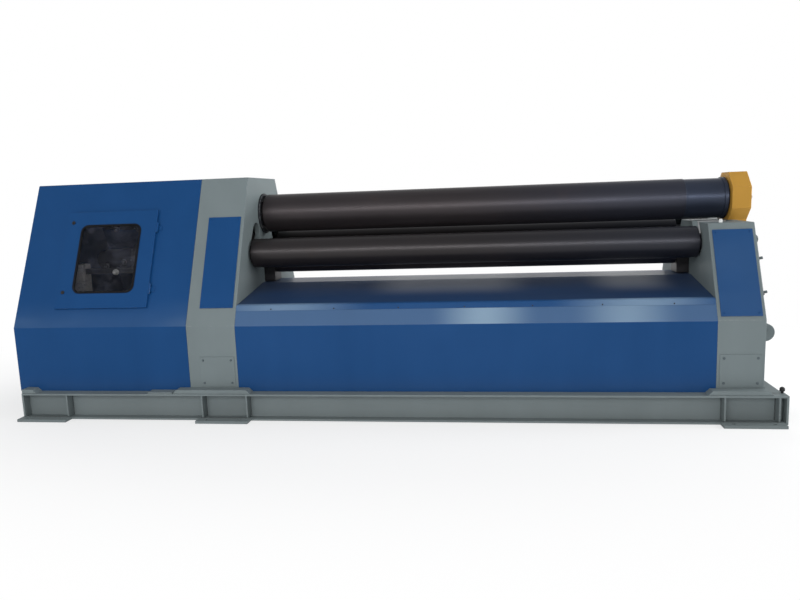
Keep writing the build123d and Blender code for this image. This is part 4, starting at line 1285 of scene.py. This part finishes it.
@dataclass(frozen=True)
class Aprons(Assembly):
    """Folded sheets that close the front and the rear below the rolls."""

    edges: ClassVar[Edges] = {Edge.SHEET: ("front_apron", "rear_apron")}
    shoulder: tuple[float, float] = (-0.779, 0.840)
    band_lean: float = radians(65.86)
    top_lean: float = radians(8.64)
    fold_radius: float = 0.015
    fold_steps: int = 6
    lip_t: float = 0.0025
    lip_gap: float = 0.0003
    lip_edge: float = 0.00075
    lip_up: float = 0.030
    lip_down: float = 0.042
    # Painted reflections at both ends of the front lip, carrying on those of the chamfer and ridge
    lip_glints: Sequence[Glint] = (Glint(-0.80, -0.80, 0.75, 0.80), Glint(1.78, 1.78, 0.65, 1.0))
    lip_reflection: Band = Band(
        PALE_BLUE, 0.56, low=0.6, high=1.0, fade_low=0.01, fade_high=0.01, patchy=0.96, glints=lip_glints
    )
    lip_reflection_finish: Paint = Paint("lip_enamel", BLUE, 0.38, coat=0.15, bands=(lip_reflection,))
    end_gap: float = 0.003
    screw: Screw = Screw(Head.SOCKET, 0.010, 0.003)
    screw_drop: float = 0.7
    screw_places: Sequence[float] = (0.08, 0.22, 0.36, 0.50, 0.64, 0.78, 0.92)

    def path(self, offset: float) -> list[Vector]:
        """Line over the shoulder, from the top sheet down the chamfer.

        Args:
            offset: Distance outside the sheet.

        Returns:
            Points in the YZ plane of the front side.
        """
        lean = self.band_lean - self.top_lean
        angles = [self.top_lean + lean * step / self.fold_steps for step in range(self.fold_steps + 1)]
        normals = [Vector((-sin(angle), cos(angle))) for angle in angles]
        first, last = normals[0], normals[-1]
        corner = Vector(self.shoulder)
        centre = corner - (first + last) * self.fold_radius / (1 + first.dot(last))
        top = corner + Vector((first.y, -first.x)) * self.lip_up + first * offset
        foot = corner + Vector((-last.y, last.x)) * self.lip_down + last * offset
        return [top, *(centre + normal * (self.fold_radius + offset) for normal in normals), foot]

    def fittings(self) -> Iterator[Fitting]:
        """Yield the lip over each shoulder and the screws along its lower edge."""
        enamel = self.lip_reflection_finish.material()
        apron = Block.of("front_apron")
        left, right = apron.span("x", self.end_gap)
        outside = self.path(self.lip_t)
        y, z = outside[-2].lerp(outside[-1], self.screw_drop)
        place = Matrix.Translation(RIGHT * left) @ ALONG_X
        for side in Side:
            lip = Shape().prism(outside + self.path(self.lip_gap)[::-1], right - left, place, self.lip_edge)
            if side is Side.REAR:
                bmesh.ops.scale(lip.mesh, vec=(1.0, -1.0, 1.0), verts=lip.mesh.verts[:])
                bmesh.ops.recalc_face_normals(lip.mesh, faces=lip.mesh.faces[:])
            normal = side.way * sin(self.band_lean) + UP * cos(self.band_lean)
            points = [(apron.low.x + share * apron.size.x, -side.value * y, z) for share in self.screw_places]
            screws = self.screw.at(facing(point, normal) for point in points)
            name = side.name.lower()
            # Only the front lip takes the enamel with painted reflections; the rear lip keeps the blue of its
            # slot
            worn = enamel if side is Side.FRONT else None
            yield Fitting(f"{name}_apron_lip", lip, "blue_paint", material=worn)
            yield Fitting(f"{name}_lip_screws", screws, "black_steel")


@dataclass(frozen=True)
class DriveCover(Assembly):
    """Sheet cover over the drive with its inspection door."""

    edges: ClassVar[Edges] = {
        Edge.SHEET: (
            "drive_cover", "inspection_window", "door_hinge_brackets", "door_hinge_pins",
            "door_hinge_knuckles", "upper_latch", "lower_latch",
        ),
        Edge.PLATE: ("inspection_door",),
        Edge.SEAL: ("window_seal",),
    }


@dataclass(frozen=True)
class DriveTrain(Assembly):
    """Gearboxes, drive motors, torque arm and torque post."""

    edges: ClassVar[Edges] = {
        Edge.TURNED: ("upper_gearbox", "lower_gearbox", "upper_drive_motor", "lower_drive_motor"),
        Edge.PLATE: ("torque_arm", "torque_post"),
    }
    flange_t: float = 0.030
    bolt_circle: float = 0.1395
    ring_at: float = 0.222
    ring_circle: float = 0.1265
    end_circle: float = 0.1175
    bolts: int = 16
    end_bolts: int = 8
    bolt: Screw = Screw(Head.SOCKET, 0.012, 0.010)
    end_bolt: Screw = Screw(Head.HEX, 0.018, 0.010, 0.026)
    joint: Ring = Ring(0.1295, 0.1335, -0.003, 0.003, 0.001, 0.001, 64)
    joint_places: Sequence[float] = (0.12, 0.22, 0.32)
    ports: Sequence[tuple[float, float]] = ((0.104, 6.0), (0.174, 45.0), (0.274, 22.0))
    port_radius: float = 0.135
    union_depth: float = 0.024
    union: Screw = Screw(Head.HEX, 0.046, 0.016)
    plug: Screw = Screw(Head.HEX, 0.026, 0.010)
    nut_at: tuple[float, float] = (-2.423, 1.052)
    nut: Screw = Screw(Head.HEX, 0.041, 0.018, 0.05125)
    dome_steps: int = 8

    def fittings(self) -> Iterator[Fitting]:
        """Yield the fittings of both drives, and the domed nut on the front of the torque bar."""
        yield from self.drive("upper", "machine", 0.0)
        yield from self.drive("lower", "lower_carriage", self.flange_t)
        x, z = self.nut_at
        place = facing((x, Block.of("torque_arm").low.y, z), Side.FRONT.way)
        radius, foot = self.nut.width / 2, self.nut.height
        angles = [pi / 2 * step / self.dome_steps for step in range(self.dome_steps + 1)]
        dome = [(radius * cos(angle), foot + radius * sin(angle)) for angle in angles]
        nut = self.nut.at([place]).turned([(0.0, foot), *dome], place)
        yield Fitting("torque_bar_cap_nut", nut, "white_plastic", "lower_carriage")

    def drive(self, name: str, body: str, end_flange: float) -> Iterator[Fitting]:
        """Yield the bolts and raised rims of one gearbox, and the oil unions and plugs of its motor.

        Args:
            name: First word of the names.
            body: CAD body that the drive rides on.
            end_flange: Thickness of the flange between gearbox and motor.
        """
        box = Block.of(f"{name}_gearbox")
        axis = UP * box.mid.z
        near, far = axis + RIGHT * box.low.x, axis + RIGHT * box.high.x
        flange = ring_places(far + LEFT * self.flange_t, LEFT, self.bolt_circle, self.bolts)
        stage = ring_places(near + RIGHT * self.ring_at, LEFT, self.ring_circle, self.bolts)
        end = ring_places(near + LEFT * end_flange, LEFT, self.end_circle, self.end_bolts)
        joints = [facing(far + LEFT * distance, LEFT) for distance in self.joint_places]
        outs = [Vector((0.0, -cos(radians(dip)), -sin(radians(dip)))) for _, dip in self.ports]
        tips = [near + LEFT * port[0] + out * self.port_radius for port, out in zip(self.ports, outs)]
        unions = self.union.at(facing(tip - out * self.union_depth, out) for tip, out in zip(tips, outs))
        unions.repeat(self.plug.shape(), map(facing, tips, outs))
        yield Fitting(f"{name}_gearbox_bolts", self.bolt.at([*flange, *stage]), "black_steel", body)
        yield Fitting(f"{name}_gearbox_joints", self.joint.at(joints), "gear_casting", body)
        yield Fitting(f"{name}_motor_bolts", self.end_bolt.at(end), "machined_steel", body)
        yield Fitting(f"{name}_motor_unions", unions, "machined_steel", body)


@dataclass(frozen=True)
class PowerUnit(Assembly):
    """Oil tank with its pump set and valves."""

    edges: ClassVar[Edges] = {
        Edge.PLATE: ("oil_tank", "valve_manifold", "solenoid_valves"),
        Edge.TURNED: ("tank_filler_cap", "pump_motor", "hydraulic_pump"),
    }
    fin: Bar = Bar(0.300, 0.004, 0.012, 0.0008)
    fin_inset: float = 0.012
    fin_depth: float = 0.002
    fins: int = 26
    fin_reach: float = radians(140.0)
    grille_hub: float = 0.016
    grille_pitch: float = 0.018
    grille_slot: float = 0.010
    grille_rings: int = 5
    grille_radius: float = 0.110
    grille_floor: float = 0.001
    grille_edge: float = 0.003
    grille_top: float = 0.005
    grille_flats: int = 48
    box: Bar = Bar(0.110, 0.090, 0.050, 0.004)
    box_lid: Bar = Bar(0.118, 0.098, 0.008, 0.002)
    box_at: float = 0.05
    box_depth: float = 0.004
    box_screw_at: tuple[float, float] = (0.049, 0.039)
    box_screw: Screw = Screw(Head.SOCKET, 0.008, 0.004)
    box_gland: Screw = Screw(Head.HEX, 0.026, 0.014, 0.032)
    lid_screw: Screw = Screw(Head.HEX, 0.013, 0.008, 0.020)
    lid_inset: float = 0.030
    lid_pitch: float = 0.150
    gauge: Bar = Bar(0.034, 0.180, 0.012, 0.003)
    gauge_at: Point = (-0.30, 0.020, -0.18)
    gauge_nut_at: float = 0.0684
    gauge_nut: Screw = Screw(Head.HEX, 0.022, 0.010, 0.028)
    valve_nut: Screw = Screw(Head.HEX, 0.030, 0.012)
    coil: Bar = Bar(0.034, 0.030, 0.026, 0.003)
    coil_share: float = 0.28

    def fittings(self) -> Iterator[Fitting]:
        """Yield the details of the pump motor, the tank and the valves."""
        yield from self.motor_fittings(Block.of("pump_motor"))
        yield from self.tank_fittings(Block.of("oil_tank"))
        ends, plugs = [], []
        for valve, side in product(Block.parts("solenoid_valves"), Side):
            ends.append(facing((valve.mid.x, side.face(valve), valve.mid.z), side.way))
            y = valve.mid.y + side.value * self.coil_share * valve.size.y
            plugs.append(Matrix.Translation((valve.mid.x, y, valve.high.z)))
        yield Fitting("valve_end_nuts", self.valve_nut.at(ends), "machined_steel")
        yield Fitting("valve_plugs", self.coil.at(plugs), "black_plastic")

    def motor_fittings(self, motor: Block) -> Iterator[Fitting]:
        """Yield the motor's cooling fins, the ringed grille on its fan cowl and its terminal box.

        Args:
            motor: Box of the pump motor.
        """
        axis = Matrix.Translation((0.0, motor.mid.y, motor.high.z - motor.size.y / 2))
        fin_x = motor.high.x - self.fin.length / 2 - self.fin_inset
        fin_at = Matrix.Translation((fin_x, 0.0, motor.size.y / 2 - self.fin_depth))
        turns = [self.fin_reach * (2 * step / (self.fins - 1) - 1) for step in range(self.fins)]
        fins = self.fin.at(axis @ Matrix.Rotation(turn, 4, "X") @ fin_at for turn in turns)
        yield Fitting("pump_motor_fins", fins, "tank_paint")

        floor, top = self.grille_floor, self.grille_top
        profile = [(0.0, top), (self.grille_hub, top)]
        for ring in range(self.grille_rings):
            start = self.grille_hub + ring * self.grille_pitch
            end = start + self.grille_slot
            profile += [(start, floor), (end, floor), (end, top), (start + self.grille_pitch, top)]
        profile += [(self.grille_radius, self.grille_edge), (self.grille_radius, 0.0), (0.0, 0.0)]
        grille = Shape().turned(profile, axis @ facing(RIGHT * motor.low.x, LEFT), self.grille_flats)
        yield Fitting("pump_motor_grille", grille, "black_plastic")

        foot = Vector((motor.mid.x + self.box_at, motor.mid.y, motor.high.z - self.box_depth))
        head = foot + UP * self.box.height
        x, y = self.box_screw_at
        corners = [head + Vector((i * x, j * y, self.box_lid.height)) for i, j in product((-1, 1), repeat=2)]
        gland = (foot + head) / 2 + Side.FRONT.way * self.box.width / 2
        box = self.box.at([Matrix.Translation(foot)])
        box.repeat(self.box_lid.shape(), [Matrix.Translation(head)])
        box.repeat(self.box_screw.shape(), map(Matrix.Translation, corners))
        box.repeat(self.box_gland.shape(), [facing(gland, Side.FRONT.way)])
        yield Fitting("pump_terminal_box", box, "tank_paint")

    def tank_fittings(self, tank: Block) -> Iterator[Fitting]:
        """Yield the screws round the tank's lid and the level gauge on its front.

        Args:
            tank: Box of the oil tank.
        """
        (left, right), (front, rear) = tank.span("x", self.lid_inset), tank.span("y", self.lid_inset)
        turns = ((left, rear), (right, rear), (right, front), (left, front), (left, rear))
        corners = [Vector((x, y, tank.high.z)) for x, y in turns]
        places = []
        for start, end in zip(corners, corners[1:]):
            count = round((end - start).length / self.lid_pitch)
            places += [facing(start.lerp(end, step / count), UP) for step in range(count)]
        yield Fitting("tank_lid_screws", self.lid_screw.at(places), "machined_steel")

        out = Side.FRONT.way
        middle = Vector((tank.high.x, tank.low.y, tank.high.z)) + Vector(self.gauge_at)
        nuts = [middle + out * self.gauge.height + UP * end * self.gauge_nut_at for end in (-1, 1)]
        gauge = self.gauge.at([facing(middle, out)])
        gauge.repeat(self.gauge_nut.shape(), [facing(nut, out) for nut in nuts])
        yield Fitting("tank_level_gauge", gauge, "white_plastic")


@dataclass(frozen=True)
class Rolls(Assembly):
    """The four rolls with their blocks and lift rods."""

    edges: ClassVar[Edges] = {
        Edge.TURNED: ("upper_roll", "lower_roll", "lower_lift_rods", "front_side_rods", "rear_side_rods"),
        Edge.PLATE: ("lower_bearing_blocks", "front_side_blocks", "rear_side_blocks"),
    }
    journal_reach: float = 0.0505
    journal_ease: float = 0.0003

    def build(self, bench: Bench) -> None:
        """Soften all nodes, and take the side rolls' journals down so that their flats clear the bores.

        Args:
            bench: Makes the pieces.
        """
        super().build(bench)
        for node in ("front_side_roll", "rear_side_roll"):
            centre = Block.of(node).mid
            for vert in bench.soften(node, Edge.TURNED).data.vertices:
                out = vert.co - centre
                out.x = 0.0
                if out.length < self.journal_reach:
                    vert.co -= out.normalized() * self.journal_ease


@dataclass(frozen=True)
class DropHead(Assembly):
    """Drop head with its pivot, lever and tilt cylinder."""

    edges: ClassVar[Edges] = {
        Edge.HEAVY: ("drop_head", "pivot_lugs", "tilt_bracket"),
        Edge.TURNED: (
            "drop_head_bush", "drop_head_cover", "drop_head_pins", "tilt_cylinder_rod",
            "tilt_cylinder_barrel", "tilt_clevis_pin",
        ),
    }
    cover_screw: Screw = Screw(Head.HEX, 0.024, 0.011, 0.032)
    keeper: Bar = Bar(0.070, 0.024, 0.008, 0.0015)
    keeper_inset: float = 0.100
    keeper_rise: float = 0.036
    keeper_screw_at: float = 0.022
    keeper_screw: Screw = Screw(Head.HEX, 0.012, 0.006)
    weld: Weld = Weld()
    weld_inset: float = 0.006
    tilt_foot: Point = (2.8565, 0.0, 0.452)
    tilt_pin: Point = (2.7405, 0.0, 1.172)
    gland_at: float = 0.2873
    gland: Ring = Ring(0.0265, 0.047, 0.0, 0.024, 0.003, 0.002, 48)
    pin_ring: Ring = Ring(0.018, 0.024, 0.0, 0.0015)
    pin_ring_inset: float = 0.0018

    def fittings(self) -> Iterator[Fitting]:
        """Yield the cover's screws, the pivot pin's keepers, the lugs' welds and the cylinder's details."""
        cover_screws = self.cover_screw.round_cover("drop_head_cover")
        yield Fitting("head_cover_screws", cover_screws, "machined_steel", "drop_head")

        lugs, pin = Block.of("pivot_lugs"), Block.of("tilt_clevis_pin")
        plates, screws, rings = [], [], []
        for side in Side:
            foot = Vector((lugs.high.x - self.keeper_inset, side.face(lugs), lugs.mid.z + self.keeper_rise))
            head = foot + side.way * self.keeper.height
            tip = Vector((pin.mid.x, side.face(pin), pin.mid.z))
            plates.append(facing(foot, side.way))
            screws += [facing(head + RIGHT * end * self.keeper_screw_at, side.way) for end in (-1, 1)]
            rings.append(facing(tip - side.way * self.pin_ring_inset, side.way))
        keepers = self.keeper.at(plates).repeat(self.keeper_screw.shape(), screws)
        yield Fitting("pivot_pin_keepers", keepers, "black_steel")
        yield Fitting("pivot_lug_welds", self.weld.laid(self.lug_seams()), "grey_paint")

        foot = Vector(self.tilt_foot)
        up = (Vector(self.tilt_pin) - foot).normalized()
        gland = self.gland.at([facing(foot + up * self.gland_at, up)])
        yield Fitting("tilt_gland_nut", gland, "black_steel", "tilt_barrel")
        yield Fitting("clevis_pin_rings", self.pin_ring.at(rings), "black_steel", "tilt_barrel")

    def lug_seams(self) -> Iterator[Seam]:
        """Yield the seams between the lugs and the idle frame's outer plate."""
        for lug in Block.parts("pivot_lugs") + Block.parts("tilt_bracket"):
            low, high = lug.span("z", self.weld_inset)
            for y in lug.span("y"):
                yield (lug.low.x, y, low), (lug.low.x, y, high)


FINISHES: Mapping[str, Finish] = {
    "blue_paint": Paint("blue_enamel", BLUE, 0.36),
    "grey_paint": Paint("grey_enamel", GREY, 0.46, coat=0.05, dust=0.20),
    "yellow_paint": Paint("yellow_enamel", YELLOW, 0.45, coat=0.05),
    "dark_paint": Paint("dark_enamel", (0.022, 0.024, 0.028), 0.42),
    "tank_paint": Paint("tank_enamel", (0.085, 0.105, 0.115), 0.42),
    "roll_steel": RollSteel("oiled_roll_steel", ROLL, 0.38),
    "machined_steel": Metal("machined_steel", (0.40, 0.41, 0.42), 0.32),
    "black_steel": Metal("blackened_steel", (0.030, 0.030, 0.033), 0.42, tarnish=(0.046, 0.043, 0.042)),
    "chromed_rod": Metal("chromed_rod", (0.58, 0.59, 0.60), 0.12, stain=0.10),
    "bronze": Metal("bearing_bronze", (0.45, 0.30, 0.13), 0.34),
    "valve_block": Metal("milled_block", (0.45, 0.46, 0.47), 0.38),
    "gear_casting": Casting("gear_casting", (0.030, 0.040, 0.055), 0.45),
    "black_plastic": Moulded("black_plastic", (0.016, 0.016, 0.017), 0.42),
    "white_plastic": Moulded("white_plastic", (0.70, 0.71, 0.70), 0.35, texture=0.03),
    "rubber_seal": Moulded("rubber_seal", (0.009, 0.009, 0.010), 0.60, specular=0.05),
    "window_sheet": Pane("window_sheet", (0.012, 0.014, 0.022), 0.08),
}


def node_finishes() -> dict[str, Finish]:
    """Finishes of the nodes that differ from their slots.

    Returns:
        Finish of each such node.
    """
    # Painted highlights on the front chamfer at two places along X
    shoulder_glints = (Glint(0.70, 0.70, 0.40, 1.0), Glint(1.68, 1.68, 0.40, 0.74))
    # Painted reflection patches near the ridge, at two places along X
    ridge_glints = (Glint(0.12, 0.72, 0.38, 0.72), Glint(1.72, 1.84, 0.30, 0.88))
    # Front chamfer band: painted sheen, paler enamel in place of the light that the chamfer catches
    shoulder = Band(PALE_BLUE, 0.78, CHAMFER_FOOT, CHAMFER_TOP, patchy=0.76, glints=shoulder_glints)
    # Rear chamfer band: the same painted sheen, milder and without glints
    rear_shoulder_sheen = Band(PALE_BLUE, 0.30, CHAMFER_FOOT, CHAMFER_TOP)
    # Apron top band: painted shade, darker and greyer enamel where the rolls shade the top sheet and are
    # mirrored in it
    film = Band(APRON_TOP_SHADE, 0.5, low=0.843, high=1.0, fade_low=0.004, fade_high=0.01, patchy=0.2)
    # Painted reflections of the bright background on the front apron's top sheet near the ridge
    ridge_reflection = Band(
        REFLECTION_WHITE, 0.75, low=0.862, high=1.0, fade_low=0.06, fade_high=0.01, patchy=0.92, glints=ridge_glints
    )
    # Cover skirt: paler towards the foot of the cover's slope, fading out upward
    skirt = Band(PALE_BLUE, 0.13, low=0.698, high=0.92, fade_high=0.22, patchy=0.6)
    # Idle-side panels from X 1.0: painted sheen, paler enamel in place of light from the right
    idle = Band(PALE_BLUE, 0.06, low=0.60, high=1.60, fade_low=0.01, fade_high=0.01, from_x=1.0)
    neck = Block.of("idle_frame").low.x - NECK_LENGTH
    arm_top = Block.of("drop_head").high.z - HEAD_HEIGHT
    return {
        "front_apron": Paint("apron_enamel", BLUE, 0.38, coat=0.15, bands=(shoulder, film, ridge_reflection)),
        "rear_apron": Paint("rear_apron_enamel", BLUE, 0.38, coat=0.15, bands=(rear_shoulder_sheen, film)),
        "drive_cover": Paint("cover_enamel", BLUE, 0.36, bands=(skirt,)),
        "frame_slope_panels": Paint("panel_enamel", BLUE, 0.36, bands=(idle,)),
        "drop_head": Paint("head_enamel", YELLOW, 0.45, coat=0.05, low_tint=GREY, low_below=arm_top),
        "drop_head_pins": Paint("pin_enamel", GREY, 0.42, coat=0.05),
        "tilt_cylinder_barrel": Paint("barrel_enamel", shade(GREY, 0.8), 0.42, coat=0.08),
        "torque_post": Paint("post_enamel", (0.86, 0.83, 0.81), 0.5, coat=0.03),
        "torque_arm": Casting("arm_enamel", (0.010, 0.012, 0.017), 0.5),
        "upper_roll": RollSteel("upper_roll_steel", ROLL, 0.38, ground_from=neck),
        # Side rolls darker than the upper roll: painted shade, as they sit in the upper roll's shadow
        "front_side_roll": RollSteel("front_side_steel_painted_shade", ROLL, 0.35, tone=0.55, specular=0.4),
        "rear_side_roll": RollSteel("rear_side_steel_painted_shade", ROLL, 0.38, tone=0.4),
    }


def write_sizes() -> None:
    boxes = {"cad": CAD_BOX, "visual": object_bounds()}
    {name: [list(corner) for corner in box] for name, box in boxes.items()}


def main() -> None:
    """Build the machine's looks in order."""
    logging.basicConfig(level=logging.INFO, format="%(message)s")
    bench = Bench(Palette(FINISHES, node_finishes()))
    assemblies = (
        BaseFrame(), EndFrames(), Aprons(), DriveCover(), DriveTrain(), PowerUnit(), Rolls(), DropHead(),
    )
    for assembly in assemblies:
        LOG.info("%s", type(assembly).__name__)
        assembly.build(bench)
    bench.dress_rest()
    Studio().build()
    write_sizes()


if __name__ == "__main__":
    main()
